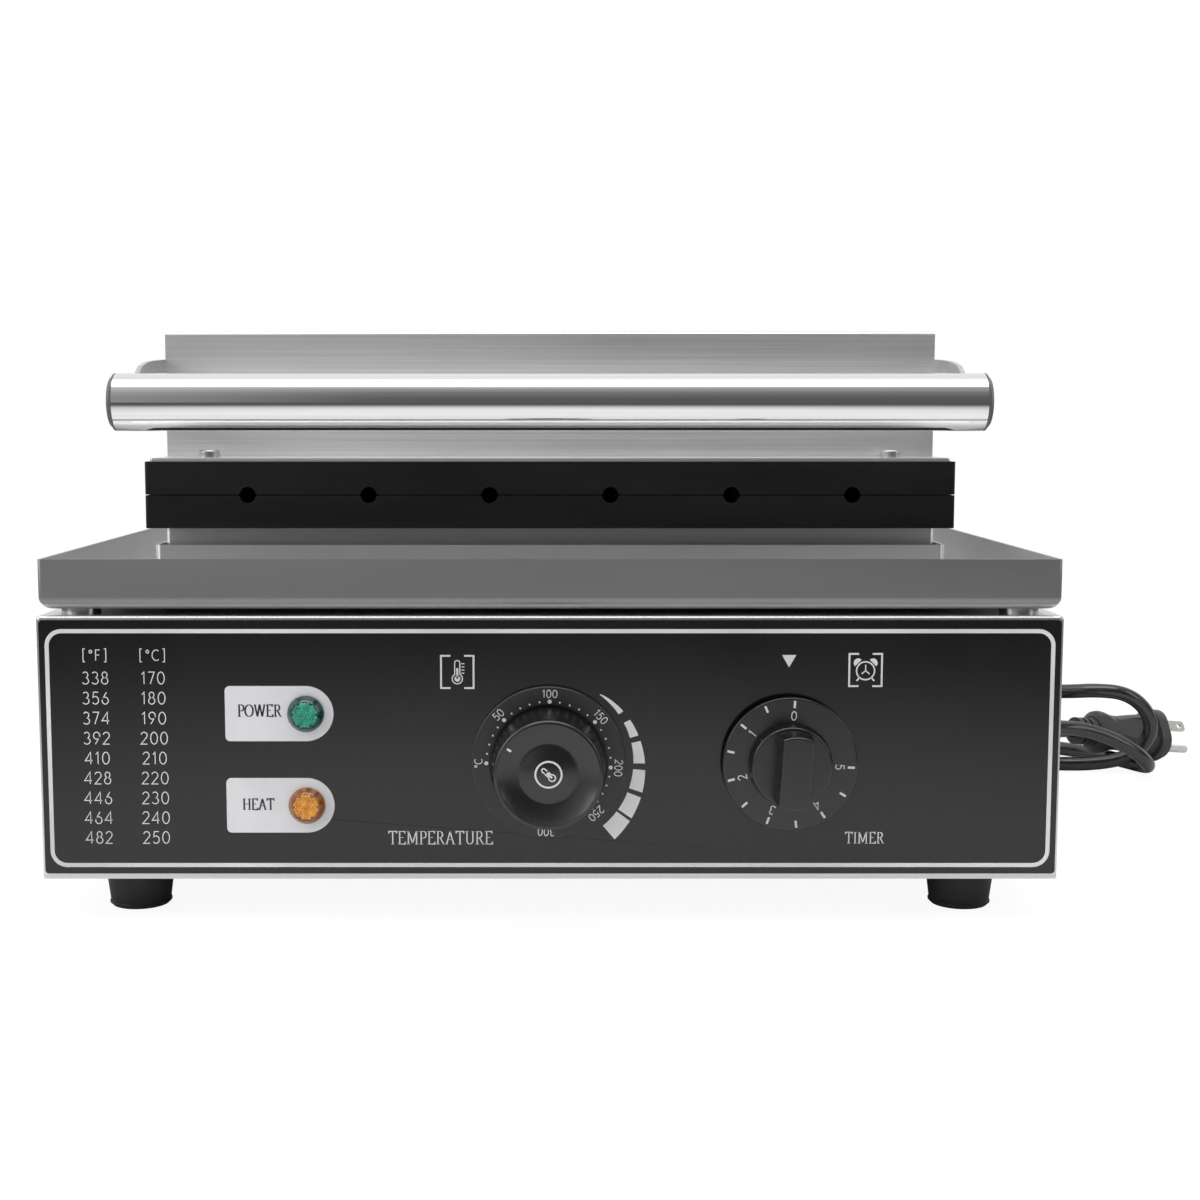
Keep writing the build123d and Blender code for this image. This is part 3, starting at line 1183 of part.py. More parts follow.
# Terminal block on the bottom plate, with two rows of screws over its wire entries
BLOCK_X = BASE_WIDTH / 2 - BLOCK_FROM_SIDE
BLOCK_PLACE = (BLOCK_X, FRONT_Y + BLOCK_FROM_FRONT)
with BuildPart() as terminal_block:
    with BuildSketch(Plane.XY.offset(PLATE_TOP)):
        with Locations(BLOCK_PLACE):
            Rectangle(BLOCK_LENGTH, BLOCK_DEPTH)
    extrude(amount=BLOCK_HEIGHT)
    chamfer(terminal_block.faces().sort_by(Axis.Z)[-1].edges().filter_by(Axis.X), BLOCK_CHAMFER)
    with BuildSketch(Plane.XY.offset(PLATE_TOP + BLOCK_HEIGHT)):
        with Locations(BLOCK_PLACE):
            with GridLocations(TERMINAL_PITCH, TERMINAL_ROW_GAP, TERMINAL_COUNT, 2):
                Circle(TERMINAL_RADIUS)
    extrude(amount=-TERMINAL_DEPTH, mode=Mode.SUBTRACT)
    entry = (BLOCK_X, BLOCK_PLACE[1] - BLOCK_DEPTH / 2, PLATE_TOP + WIRE_ENTRY_HEIGHT)
    with BuildSketch(Plane(origin=entry, x_dir=(1, 0, 0), z_dir=(0, -1, 0))):
        with GridLocations(TERMINAL_PITCH, 0, TERMINAL_COUNT, 1):
            Circle(WIRE_ENTRY_RADIUS)
    extrude(amount=-BLOCK_DEPTH, mode=Mode.SUBTRACT)
terminal_block.part.label = "terminal_block"
export_step(terminal_block.part, "parts/terminal_block.step")

# Cord gland: a threaded neck through the rear panel, a flange and a tapered strain relief
with BuildPart() as cord_gland:
    with BuildSketch(Plane(origin=(GLAND_X, REAR_Y, GLAND_HEIGHT), x_dir=(1, 0, 0), z_dir=(0, 0, -1))):
        with BuildLine():
            rib_start = GLAND_FLANGE + 2.0
            rib_pitch = (GLAND_REACH - 4.0 - rib_start) / GLAND_RIB_COUNT
            outline = [
                (0, GLAND_NECK),
                (GLAND_THREAD_RADIUS, GLAND_NECK),
                (GLAND_THREAD_RADIUS, 0),
                (GLAND_FLANGE_RADIUS, 0),
                (GLAND_FLANGE_RADIUS, -GLAND_FLANGE + 1.2),
                (GLAND_FLANGE_RADIUS - 1.2, -GLAND_FLANGE),
            ]
            for index in range(GLAND_RIB_COUNT):
                start = rib_start + index * rib_pitch
                share = index / GLAND_RIB_COUNT
                radius = GLAND_THREAD_RADIUS + share * (GLAND_TIP_RADIUS - GLAND_THREAD_RADIUS)
                outline += [
                    (radius - GLAND_RIB, -start),
                    (radius, -start - 0.4),
                    (radius, -start - rib_pitch / 2),
                    (radius - GLAND_RIB, -start - rib_pitch / 2 - 0.4),
                ]
            outline += [
                (GLAND_TIP_RADIUS, -GLAND_REACH + 3.4),
                (GLAND_TIP_RADIUS, -GLAND_REACH),
                (0, -GLAND_REACH),
            ]
            Polyline(*outline, close=True)
        make_face()
    revolve(axis=Axis((GLAND_X, REAR_Y, GLAND_HEIGHT), (0, 1, 0)))
    with BuildSketch(rear_plane(GLAND_X, GLAND_HEIGHT, -GLAND_NECK)):
        Circle(CORD_RADIUS)
    extrude(amount=GLAND_NECK + GLAND_FLANGE, mode=Mode.SUBTRACT)
cord_gland.part.label = "cord_gland"
export_step(cord_gland.part, "parts/cord_gland.step")

gland_nut = hex_nut(GLAND_THREAD_RADIUS + FIT, GLAND_NUT_WIDTH, GLAND_NUT_THICKNESS)
with BuildPart() as cord_gland_nut:
    with Locations(rear_plane(GLAND_X, GLAND_HEIGHT, -SHEET - GLAND_NUT_THICKNESS)):
        add(gland_nut)
cord_gland_nut.part.label = "cord_gland_nut"
export_step(cord_gland_nut.part, "parts/cord_gland_nut.step")


def tangent_point(start, centre, radius, side):
    """Where a line from start touches a circle: side 1 passes it on the left, -1 on the right."""
    across = Vector(*centre) - Vector(*start)
    swing = side * degrees(atan(radius / sqrt(across.length**2 - radius**2)))
    along = across.normalized().rotate(Axis.Z, swing) * sqrt(across.length**2 - radius**2)
    touch = Vector(*start) + along
    return (touch.X, touch.Y)


# Hinge brackets on the lower box: a back plate with two ears that reach over the tray's collar
BRACKET_BOTTOM = BASE_TOP + BRACKET_RISE
BRACKET_TOP = LOWER_MOULD_BOTTOM - BRACKET_DROP
EAR_NECK_FRONT = FRONT_Y + MOULD_REAR + EAR_CLEARANCE
EAR_NECK_REAR = HINGE_Y - EAR_NECK
EAR_FOOT_REAR = FRONT_Y + COLLAR_REAR - SHEET - EAR_FOOT_GAP
EAR_STEP_Z = TRAY_BOTTOM + COLLAR_HEIGHT + EAR_STEP_GAP
BRACKET_WIDTH = FORK_GAP + 2 * HINGE_PLATE
PLATE_REAR_Y = FRONT_Y + BOX_REAR + HINGE_PLATE
HINGE_CENTRE = (HINGE_Y, HINGE_Z)
with BuildPart() as hinge_brackets:
    for bracket_x in (-HINGE_X, HINGE_X):
        with BuildSketch(Plane.XZ.offset(-(FRONT_Y + BOX_REAR))):
            with Locations((bracket_x, (BRACKET_BOTTOM + BRACKET_TOP) / 2)):
                Rectangle(BRACKET_WIDTH, BRACKET_TOP - BRACKET_BOTTOM)
            with Locations(*[(bracket_x, z) for z in BRACKET_SCREW_HEIGHTS]):
                Circle(M4 + HOLE_FIT, mode=Mode.SUBTRACT)
        extrude(amount=-HINGE_PLATE)
        for ear_x in (bracket_x - BRACKET_WIDTH / 2, bracket_x + FORK_GAP / 2):
            with BuildSketch(side_plane(ear_x)):
                with BuildLine():
                    front_foot = (EAR_NECK_FRONT, BRACKET_TOP)
                    rear_foot = (EAR_NECK_REAR, EAR_STEP_Z)
                    Polyline(
                        (FRONT_Y + BOX_REAR, BRACKET_BOTTOM),
                        (EAR_FOOT_REAR, BRACKET_BOTTOM),
                        (EAR_FOOT_REAR, EAR_STEP_Z),
                        rear_foot,
                        tangent_point(rear_foot, HINGE_CENTRE, EAR_RADIUS, -1),
                        HINGE_CENTRE,
                        tangent_point(front_foot, HINGE_CENTRE, EAR_RADIUS, 1),
                        front_foot,
                        (FRONT_Y + BOX_REAR, BRACKET_TOP),
                        close=True,
                    )
                make_face()
                with Locations(HINGE_CENTRE):
                    Circle(EAR_RADIUS)
                    Circle(ROD_RADIUS + FIT, mode=Mode.SUBTRACT)
            extrude(amount=HINGE_PLATE)
hinge_brackets.part.label = "hinge_brackets"
export_step(hinge_brackets.part, "parts/hinge_brackets.step")


def plate_screws(places):
    """Screws with nuts that hold a hinge plate on the back of a heater box."""
    screw = pan_screw(M4, HINGE_PLATE + SHEET + SCREW_SPARE)
    nut = hex_nut(M4 + FIT, *M4_NUT)
    with BuildPart() as screws:
        for x, z in places:
            head = Plane(origin=(x, PLATE_REAR_Y, z), x_dir=(-1, 0, 0), z_dir=(0, 1, 0))
            with Locations(head):
                add(screw)
            with Locations(head.offset(-HINGE_PLATE - SHEET - M4_NUT[1])):
                add(nut)
    return screws.part


hinge_bracket_screws = plate_screws(
    [(x, z) for x in (-HINGE_X, HINGE_X) for z in BRACKET_SCREW_HEIGHTS]
)
hinge_bracket_screws.label = "hinge_bracket_screws"
export_step(hinge_bracket_screws, "parts/hinge_bracket_screws.step")

with BuildPart() as hinge_rod:
    with BuildSketch(side_plane(-ROD_LENGTH / 2)):
        with Locations(HINGE_CENTRE):
            Circle(ROD_RADIUS)
    extrude(amount=ROD_LENGTH)
    chamfer(hinge_rod.edges().filter_by(GeomType.CIRCLE), ROD_CHAMFER)
hinge_rod.part.label = "hinge_rod"
export_step(hinge_rod.part, "parts/hinge_rod.step")

with BuildPart() as hinge_rod_rings:
    for ring_x in (-HINGE_X - BRACKET_WIDTH / 2 - RING_WIDTH, HINGE_X + BRACKET_WIDTH / 2):
        with BuildSketch(side_plane(ring_x)):
            with Locations(HINGE_CENTRE):
                Circle(RING_OUTER_RADIUS)
                Circle(ROD_RADIUS + FIT, mode=Mode.SUBTRACT)
        extrude(amount=RING_WIDTH)
hinge_rod_rings.part.label = "hinge_rod_rings"
export_step(hinge_rod_rings.part, "parts/hinge_rod_rings.step")

# Upper mould
upper_mould = mould_half(
    UPPER_MOULD_BOTTOM,
    1,
    UPPER_BOX_FRONT,
    FLANGE_SCREW_PLACES,
    M5,
    UPPER_MOULD_TOP,
    FLANGE_SCREW_BITE + 1.0,
)
upper_mould.label = "upper_mould"
export_step(upper_mould, "parts/upper_mould.step")

# Upper heater housing: a closed box on a flange that covers the mould's back
UPPER_BOX_MIDDLE_Y = FRONT_Y + (UPPER_BOX_FRONT + BOX_REAR) / 2
UPPER_BOX_DEPTH = BOX_REAR - UPPER_BOX_FRONT
ARM_SIDES = (-1, 1)
with BuildPart() as upper_heater_housing:
    with BuildSketch(Plane.XY.offset(UPPER_MOULD_TOP)):
        with Locations((0, FRONT_Y + (UPPER_FLANGE_FRONT + UPPER_FLANGE_REAR) / 2)):
            RectangleRounded(
                UPPER_FLANGE_WIDTH, UPPER_FLANGE_REAR - UPPER_FLANGE_FRONT, MOULD_CORNER
            )
        with Locations(*FLANGE_SCREW_PLACES):
            Circle(M5 + HOLE_FIT, mode=Mode.SUBTRACT)
    extrude(amount=UPPER_FLANGE_THICKNESS)
    with BuildSketch(Plane.XY.offset(FLANGE_TOP)):
        with Locations((0, UPPER_BOX_MIDDLE_Y)):
            Rectangle(HEATER_WIDTH, UPPER_BOX_DEPTH)
    extrude(amount=UPPER_BOX_HEIGHT)
    box_faces = upper_heater_housing.faces().filter_by(Axis.Z).sort_by(Axis.Z)
    fillet(box_faces[-1].edges(), BASE_BEND)
    with BuildSketch(Plane.XY.offset(UPPER_MOULD_TOP)):
        with Locations((0, UPPER_BOX_MIDDLE_Y)):
            Rectangle(HEATER_WIDTH - 2 * SHEET, UPPER_BOX_DEPTH - 2 * SHEET)
    extrude(amount=UPPER_FLANGE_THICKNESS + UPPER_BOX_HEIGHT - SHEET, mode=Mode.SUBTRACT)
    with BuildSketch(Plane.XZ.offset(-(FRONT_Y + BOX_REAR))):
        for x in (-HINGE_X, HINGE_X):
            with Locations(*[(x, z) for z in LEAF_SCREW_HEIGHTS]):
                Circle(M4 + HOLE_FIT)
    extrude(amount=SHEET, mode=Mode.SUBTRACT)
    with BuildSketch(side_plane(-HEATER_HALF)):
        with Locations(*ARM_SCREW_PLACES):
            Circle(M4 + HOLE_FIT)
    extrude(amount=HEATER_WIDTH, mode=Mode.SUBTRACT)
upper_heater_housing.part.label = "upper_heater_housing"
export_step(upper_heater_housing.part, "parts/upper_heater_housing.step")

UPPER_BLOCK_TOP = UPPER_MOULD_TOP + MOULD_BLOCK
UPPER_CLAMP_BOTTOM = UPPER_BLOCK_TOP + 2 * ELEMENT_RADIUS
upper_heating_element = heating_element(UPPER_BLOCK_TOP + ELEMENT_RADIUS, 1)
upper_heating_element.label = "upper_heating_element"
export_step(upper_heating_element, "parts/upper_heating_element.step")
upper_clamp_plate = clamp_plate(UPPER_CLAMP_BOTTOM)
upper_clamp_plate.label = "upper_clamp_plate"
export_step(upper_clamp_plate, "parts/upper_clamp_plate.step")
upper_clamp_screws = clamp_screws(UPPER_CLAMP_BOTTOM + CLAMP_THICKNESS, 1)
upper_clamp_screws.label = "upper_clamp_screws"
export_step(upper_clamp_screws, "parts/upper_clamp_screws.step")

# Upper insulation: a thick pad under the housing's top, clear of the nuts on its walls
with BuildPart() as upper_insulation:
    with BuildSketch(Plane.XY.offset(UPPER_BOX_TOP - SHEET - UPPER_PAD_THICKNESS)):
        with Locations((0, UPPER_BOX_MIDDLE_Y)):
            Rectangle(
                HEATER_WIDTH - 2 * SHEET - 2 * NUT_CLEARANCE,
                UPPER_BOX_DEPTH - 2 * SHEET - 2 * NUT_CLEARANCE,
            )
        with Locations(*LEG_PLACES):
            Circle(ELEMENT_RADIUS + LEG_CLEARANCE, mode=Mode.SUBTRACT)
    extrude(amount=UPPER_PAD_THICKNESS)
upper_insulation.part.label = "upper_insulation"
export_step(upper_insulation.part, "parts/upper_insulation.step")

# Screws and washers that hold the housing's flange on the upper mould
flange_screw = pan_screw(M5, WASHER_THICKNESS + UPPER_FLANGE_THICKNESS + FLANGE_SCREW_BITE)
with BuildPart() as flange_screws:
    with BuildSketch(Plane.XY.offset(FLANGE_TOP)):
        with Locations(*FLANGE_SCREW_PLACES):
            Circle(WASHER_RADIUS)
    extrude(amount=WASHER_THICKNESS)
    for x, y in FLANGE_SCREW_PLACES:
        with Locations((x, y, FLANGE_TOP + WASHER_THICKNESS)):
            add(flange_screw)
flange_screws.part.label = "flange_screws"
export_step(flange_screws.part, "parts/flange_screws.step")

# Handle arms: flat plates on the housing's sides whose rounded noses end inside the handle tube
TUBE_CENTRE = (FRONT_Y + HANDLE_FRONT, HANDLE_HEIGHT)
NOSE_RADIUS = TUBE_OUTER_RADIUS - TUBE_WALL - FIT


def handle_arm(inner_x):
    """One arm, between inner_x and a plate thickness outwards."""
    with BuildPart() as arm:
        with BuildSketch(side_plane(inner_x)):
            with BuildLine():
                top = [
                    (TUBE_CENTRE[0] + along, TUBE_CENTRE[1] + rise)
                    for along, rise in ARM_SLOPE_POINTS
                ]
                Polyline(
                    TUBE_CENTRE,
                    *top,
                    (FRONT_Y + UPPER_BOX_FRONT - 2.0, ARM_TOP),
                    (FRONT_Y + ARM_REAR, ARM_TOP),
                    (FRONT_Y + ARM_REAR, ARM_BOTTOM),
                    (FRONT_Y + UPPER_BOX_FRONT, ARM_BOTTOM),
                    (TUBE_CENTRE[0], TUBE_CENTRE[1] - NOSE_RADIUS),
                    close=True,
                )
            arm_face = make_face()
            rear_corners = arm_face.vertices().group_by(Axis.X)[-1]
            fillet(rear_corners, ARM_END_RADIUS)
            with Locations(TUBE_CENTRE):
                Circle(NOSE_RADIUS)
            with Locations(*ARM_SCREW_PLACES):
                Circle(M4 + HOLE_FIT, mode=Mode.SUBTRACT)
        extrude(amount=ARM_THICKNESS)
    return arm.part


left_handle_arm = handle_arm(-HEATER_HALF - ARM_THICKNESS)
left_handle_arm.label = "left_handle_arm"
export_step(left_handle_arm, "parts/left_handle_arm.step")
right_handle_arm = handle_arm(HEATER_HALF)
right_handle_arm.label = "right_handle_arm"
export_step(right_handle_arm, "parts/right_handle_arm.step")

arm_screw = pan_screw(M4, ARM_THICKNESS + SHEET + SCREW_SPARE)
arm_nut = hex_nut(M4 + FIT, *M4_NUT)
with BuildPart() as handle_arm_screws:
    for side in ARM_SIDES:
        for y, z in ARM_SCREW_PLACES:
            outer = (side * (HEATER_HALF + ARM_THICKNESS), y, z)
            head = Plane(origin=outer, x_dir=(0, side, 0), z_dir=(side, 0, 0))
            with Locations(head):
                add(arm_screw)
            with Locations(head.offset(-ARM_THICKNESS - SHEET - M4_NUT[1])):
                add(arm_nut)
handle_arm_screws.part.label = "handle_arm_screws"
export_step(handle_arm_screws.part, "parts/handle_arm_screws.step")

# Handle tube, slotted at the back for the arms
with BuildPart() as handle_tube:
    with BuildSketch(side_plane(-TUBE_LENGTH / 2)):
        with Locations(TUBE_CENTRE):
            Circle(TUBE_OUTER_RADIUS)
            Circle(TUBE_OUTER_RADIUS - TUBE_WALL, mode=Mode.SUBTRACT)
    extrude(amount=TUBE_LENGTH)
    with BuildSketch(Plane.XY.offset(HANDLE_HEIGHT)):
        for side in ARM_SIDES:
            slot_x = side * (HEATER_HALF + ARM_THICKNESS / 2)
            with Locations((slot_x, TUBE_CENTRE[0] + TUBE_OUTER_RADIUS - SLOT_FIT)):
                Rectangle(ARM_THICKNESS + 2 * SLOT_FIT, 2 * TUBE_OUTER_RADIUS)
    extrude(amount=2 * TUBE_OUTER_RADIUS, both=True, mode=Mode.SUBTRACT)
handle_tube.part.label = "handle_tube"
export_step(handle_tube.part, "parts/handle_tube.step")

with BuildPart() as handle_end_caps:
    for side in ARM_SIDES:
        end = Plane(
            origin=(side * TUBE_LENGTH / 2, *TUBE_CENTRE), x_dir=(0, side, 0), z_dir=(side, 0, 0)
        )
        with BuildSketch(end):
            Circle(TUBE_OUTER_RADIUS)
        extrude(amount=CAP_RIM)
        with BuildSketch(end.offset(CAP_RIM)):
            Circle(TUBE_OUTER_RADIUS - 0.4)
        extrude(amount=CAP_DOME, taper=45.0)
        with BuildSketch(end):
            Circle(TUBE_OUTER_RADIUS - TUBE_WALL - SLOT_FIT)
        extrude(amount=-CAP_SPIGOT)
handle_end_caps.part.label = "handle_end_caps"
export_step(handle_end_caps.part, "parts/handle_end_caps.step")

# Hinge leaves on the lid: a plate, a strap and a knuckle that turns on the rod
LEAF_WIDTH = FORK_GAP - 2 * FORK_CLEARANCE
STRAP_BOTTOM = FLANGE_TOP + STRAP_RISE
STRAP_TOP = STRAP_BOTTOM + STRAP_THICKNESS
with BuildPart() as hinge_leaves:
    for leaf_x in (-HINGE_X, HINGE_X):
        with BuildSketch(Plane.XZ.offset(-(FRONT_Y + BOX_REAR))):
            with Locations((leaf_x, (LEAF_PLATE_BOTTOM + LEAF_PLATE_TOP) / 2)):
                Rectangle(BRACKET_WIDTH, LEAF_PLATE_TOP - LEAF_PLATE_BOTTOM)
            with Locations(*[(leaf_x, z) for z in LEAF_SCREW_HEIGHTS]):
                Circle(M4 + HOLE_FIT, mode=Mode.SUBTRACT)
        extrude(amount=-HINGE_PLATE)
        with BuildSketch(side_plane(leaf_x - LEAF_WIDTH / 2)):
            with BuildLine():
                lower_root = (PLATE_REAR_Y - 0.1, STRAP_BOTTOM)
                upper_root = (PLATE_REAR_Y - 0.1, STRAP_TOP)
                Polyline(
                    upper_root,
                    lower_root,
                    tangent_point(lower_root, HINGE_CENTRE, KNUCKLE_RADIUS, -1),
                    HINGE_CENTRE,
                    tangent_point(upper_root, HINGE_CENTRE, KNUCKLE_RADIUS, 1),
                    close=True,
                )
            make_face()
            with Locations(HINGE_CENTRE):
                Circle(KNUCKLE_RADIUS)
                Circle(ROD_RADIUS + RUNNING_FIT, mode=Mode.SUBTRACT)
        extrude(amount=LEAF_WIDTH)
hinge_leaves.part.label = "hinge_leaves"
export_step(hinge_leaves.part, "parts/hinge_leaves.step")

hinge_leaf_screws = plate_screws(
    [(x, z) for x in (-HINGE_X, HINGE_X) for z in LEAF_SCREW_HEIGHTS]
)
hinge_leaf_screws.label = "hinge_leaf_screws"
export_step(hinge_leaf_screws, "parts/hinge_leaf_screws.step")


def bend_radii(points):
    """The radius of each bend of a cord, as large as the runs beside it allow."""
    runs = [Vector(*end) - Vector(*start) for start, end in zip(points, points[1:])]
    radii = []
    for before, after in zip(runs, runs[1:]):
        half_turn = radians(before.get_angle(after)) / 2
        radii.append(0.45 * min(before.length, after.length) / tan(half_turn))
    return radii


def cord_tube(name, points):
    """A free stretch of the cord: straight runs joined by tangent arcs."""
    radii = bend_radii(points)
    print(name, "bend radii:", [round(radius, 1) for radius in radii])
    with BuildPart() as tube:
        with BuildLine():
            path = FilletPolyline(*points, radius=radii)
        with BuildSketch(Plane(origin=points[0], z_dir=Vector(*points[1]) - Vector(*points[0]))):
            Circle(CORD_RADIUS)
        sweep(path=path)
    section_volume = pi * CORD_RADIUS**2 * path.length
    print(name, "length", round(path.length, 1), "volume share", tube.part.volume / section_volume)
    return tube.part


# The cord's lead: straight out of the gland, then down and round to the top of the coil
GLAND_TIP = (GLAND_X, REAR_Y + GLAND_REACH, GLAND_HEIGHT)
COIL_TOP_Z = CORD_RADIUS + CORD_LAYER
COIL_STUB = 2 * CORD_RADIUS
COIL_START = (COIL_X + COIL_STUB, COIL_Y + COIL_RADIUS, COIL_TOP_Z)
COIL_END = (COIL_X + COIL_STUB, COIL_Y - COIL_RADIUS, CORD_RADIUS)
LEAD_POINTS = [
    GLAND_TIP,
    (165.0, 224.5, 45.0),
    (163.5, 247.5, 38.0),
    (157.0, 269.0, 26.5),
    (144.5, 286.0, 17.0),
    (127.0, COIL_START[1], COIL_START[2]),
    COIL_START,
]
power_cord_lead = cord_tube("power_cord_lead", LEAD_POINTS)
power_cord_lead.label = "power_cord_lead"
export_step(power_cord_lead, "parts/power_cord_lead.step")

# The coil: half turns that spiral in on the top layer and out again on the floor
coil_ends = []
for index in range(COIL_HALF_TURNS + 1):
    side = 1 if index % 2 == 0 else -1
    steps_in = min(index, COIL_HALF_TURNS - index)
    reach = COIL_RADIUS - steps_in * COIL_STEP / 2
    level = COIL_TOP_Z if index <= COIL_HALF_TURNS // 2 else CORD_RADIUS
    coil_ends.append(Vector(COIL_X, COIL_Y + side * reach, level))
with BuildPart() as power_cord_coil:
    with BuildLine() as coil_line:
        Line(COIL_START, coil_ends[0])
        for index in range(COIL_HALF_TURNS):
            start, end = coil_ends[index], coil_ends[index + 1]
            outward = Vector(-1 if index % 2 == 0 else 1, 0, 0)
            middle = (start + end) / 2 + outward * (end - start).length / 2
            ThreePointArc(start, middle, end)
        Line(coil_ends[-1], COIL_END)
    with BuildSketch(Plane(origin=COIL_START, z_dir=(-1, 0, 0))):
        Circle(CORD_RADIUS)
    sweep(path=coil_line.wire())
power_cord_coil.part.label = "power_cord_coil"
export_step(power_cord_coil.part, "parts/power_cord_coil.step")

coil_wire = coil_line.wire()
NEIGHBOUR_SHARE = COIL_NEIGHBOUR / coil_wire.length
samples = [coil_wire @ (index / COIL_SAMPLES) for index in range(COIL_SAMPLES + 1)]
coil_gap = min(
    (first - second).length
    for index, first in enumerate(samples)
    for second in samples[index + int(NEIGHBOUR_SHARE * COIL_SAMPLES) :]
)
print("power_cord_coil length", round(coil_wire.length, 1))
print("power_cord_coil least gap to itself", round(coil_gap - 2 * CORD_RADIUS, 2))

# The plug's frame: local Z runs from the cord to the blades, and local X across the blades
yaw = radians(PLUG_YAW)
dip = radians(PLUG_DIP)
plug_axis = (cos(yaw) * cos(dip), sin(yaw) * cos(dip), -sin(dip))
level_across = Vector(-sin(yaw), cos(yaw), 0)
level_rise = Vector(*plug_axis).cross(level_across)
roll = radians(PLUG_ROLL)
plug_across = level_across * cos(roll) + level_rise * sin(roll)
plug_plane = Plane(origin=PLUG_TAIL, x_dir=plug_across, z_dir=plug_axis)
plug_turn = Plane(origin=plug_plane.origin, x_dir=plug_plane.x_dir, z_dir=-plug_plane.y_dir)

# The cord's loops beside the machine, from the coil to the plug
LOOP_POINTS = [
    COIL_END,
    (165.0, COIL_END[1], CORD_RADIUS),
    (215.0, 194.0, CORD_RADIUS),
    (262.0, 200.5, CORD_RADIUS),
    (300.0, 194.5, CORD_RADIUS),
    (327.0, 176.0, CORD_RADIUS),
    (340.0, 148.0, CORD_RADIUS),
    (349.5, 124.5, CORD_RADIUS),
    (345.0, 109.5, 9.0),
    (335.0, 104.5, 18.0),
    (321.5, 102.5, 25.0),
    (307.5, 101.5, 30.0),
    (292.5, 98.5, 32.5),
    (268.0, 83.5, 34.5),
    (240.0, 79.5, 36.5),
    (220.0, 99.5, 39.0),
    (218.0, 127.5, 41.5),
    (236.0, 151.5, 43.5),
    (264.0, 157.5, 45.0),
    (288.0, 143.5, 46.0),
    (305.0, 130.5, 48.0),
    (317.5, 122.5, 50.0),
    (333.5, 119.5, 49.0),
    (346.5, 122.5, 40.0),
    (352.5, 125.5, 26.5),
    (346.5, 128.0, 14.0),
    (334.5, 130.5, 7.0),
    (314.0, 133.0, CORD_RADIUS),
    (287.0, 138.5, CORD_RADIUS),
    (261.0, 152.5, 4.5),
    (233.0, 150.5, 5.5),
    (217.5, 127.5, 7.5),
    (222.0, 99.5, 11.0),
    (243.0, 80.5, 15.0),
    (268.0, 88.5, 19.0),
    (285.0, 112.5, 22.5),
    tuple(plug_plane.from_local_coords((0, 0, -TAIL_RUN))),
    PLUG_TAIL,
]
power_cord_loops = cord_tube("power_cord_loops", LOOP_POINTS)
power_cord_loops.label = "power_cord_loops"
export_step(power_cord_loops, "parts/power_cord_loops.step")

# Plug body: a ribbed strain relief, a waisted grip with flat sides and a thick front flange
FLANGE_BACK = PLUG_LENGTH - PLUG_FLANGE_THICKNESS
with BuildPart() as plug_body:
    with BuildSketch(plug_turn):
        with BuildLine():
            Polyline(
                (0, PLUG_RELIEF_LENGTH),
                (9.5, PLUG_RELIEF_LENGTH),
                (12.2, PLUG_RELIEF_LENGTH + 1.5),
                (12.7, PLUG_RELIEF_LENGTH + 4.0),
                (12.2, PLUG_RELIEF_LENGTH + 7.0),
                (10.6, PLUG_RELIEF_LENGTH + 12.0),
                (10.2, PLUG_RELIEF_LENGTH + 18.0),
                (11.2, PLUG_RELIEF_LENGTH + 26.0),
                (12.8, FLANGE_BACK),
                (0, FLANGE_BACK),
                close=True,
            )
        make_face()
    revolve(axis=Axis(plug_plane.origin, plug_plane.z_dir))
    with BuildSketch(plug_plane.offset(PLUG_RELIEF_LENGTH)):
        Rectangle(2 * PLUG_HALF_WIDTH, 4 * PLUG_FLANGE_RADIUS)
    extrude(amount=FLANGE_BACK - PLUG_RELIEF_LENGTH, mode=Mode.INTERSECT)
    with BuildSketch(plug_plane):
        Circle(PLUG_RELIEF_RADIUS)
    extrude(amount=PLUG_RELIEF_LENGTH)
    for groove in PLUG_GROOVES:
        with BuildSketch(plug_plane.offset(groove)):
            Circle(PLUG_RELIEF_RADIUS)
            Circle(PLUG_RELIEF_RADIUS - PLUG_GROOVE_DEPTH, mode=Mode.SUBTRACT)
        extrude(amount=PLUG_GROOVE_WIDTH, mode=Mode.SUBTRACT)
    panel_middle = FLANGE_BACK - PLUG_PANEL_FROM_FLANGE
    for side in (-1, 1):
        flat = Plane(
            origin=plug_plane.from_local_coords((side * PLUG_HALF_WIDTH, 0, panel_middle)),
            x_dir=plug_plane.z_dir,
            z_dir=plug_plane.x_dir * side,
        )
        with BuildSketch(flat):
            RectangleRounded(PLUG_PANEL_LENGTH, PLUG_PANEL_WIDTH, PLUG_PANEL_WIDTH / 3)
        extrude(amount=-PLUG_PANEL_DEPTH, mode=Mode.SUBTRACT)
    with BuildSketch(plug_plane.offset(FLANGE_BACK)):
        RectangleRounded(
            2 * PLUG_FLANGE_RADIUS - PLUG_FLANGE_CUT, 2 * PLUG_FLANGE_RADIUS, PLUG_FLANGE_CORNER
        )
    extrude(amount=PLUG_FLANGE_THICKNESS)
    for side in (-1, 1):
        with BuildSketch(plug_plane.offset(PLUG_LENGTH)):
            with Locations((side * BLADE_SPACING / 2, BLADE_RISE)):
                Rectangle(BLADE_THICKNESS, BLADE_WIDTH)
        extrude(amount=-BLADE_ROOT, mode=Mode.SUBTRACT)
    with BuildSketch(plug_plane.offset(PLUG_LENGTH)):
        with Locations((0, BLADE_RISE - PIN_DROP)):
            Circle(PIN_RADIUS)
    extrude(amount=-BLADE_ROOT, mode=Mode.SUBTRACT)
plug_body.part.label = "plug_body"
export_step(plug_body.part, "parts/plug_body.step")

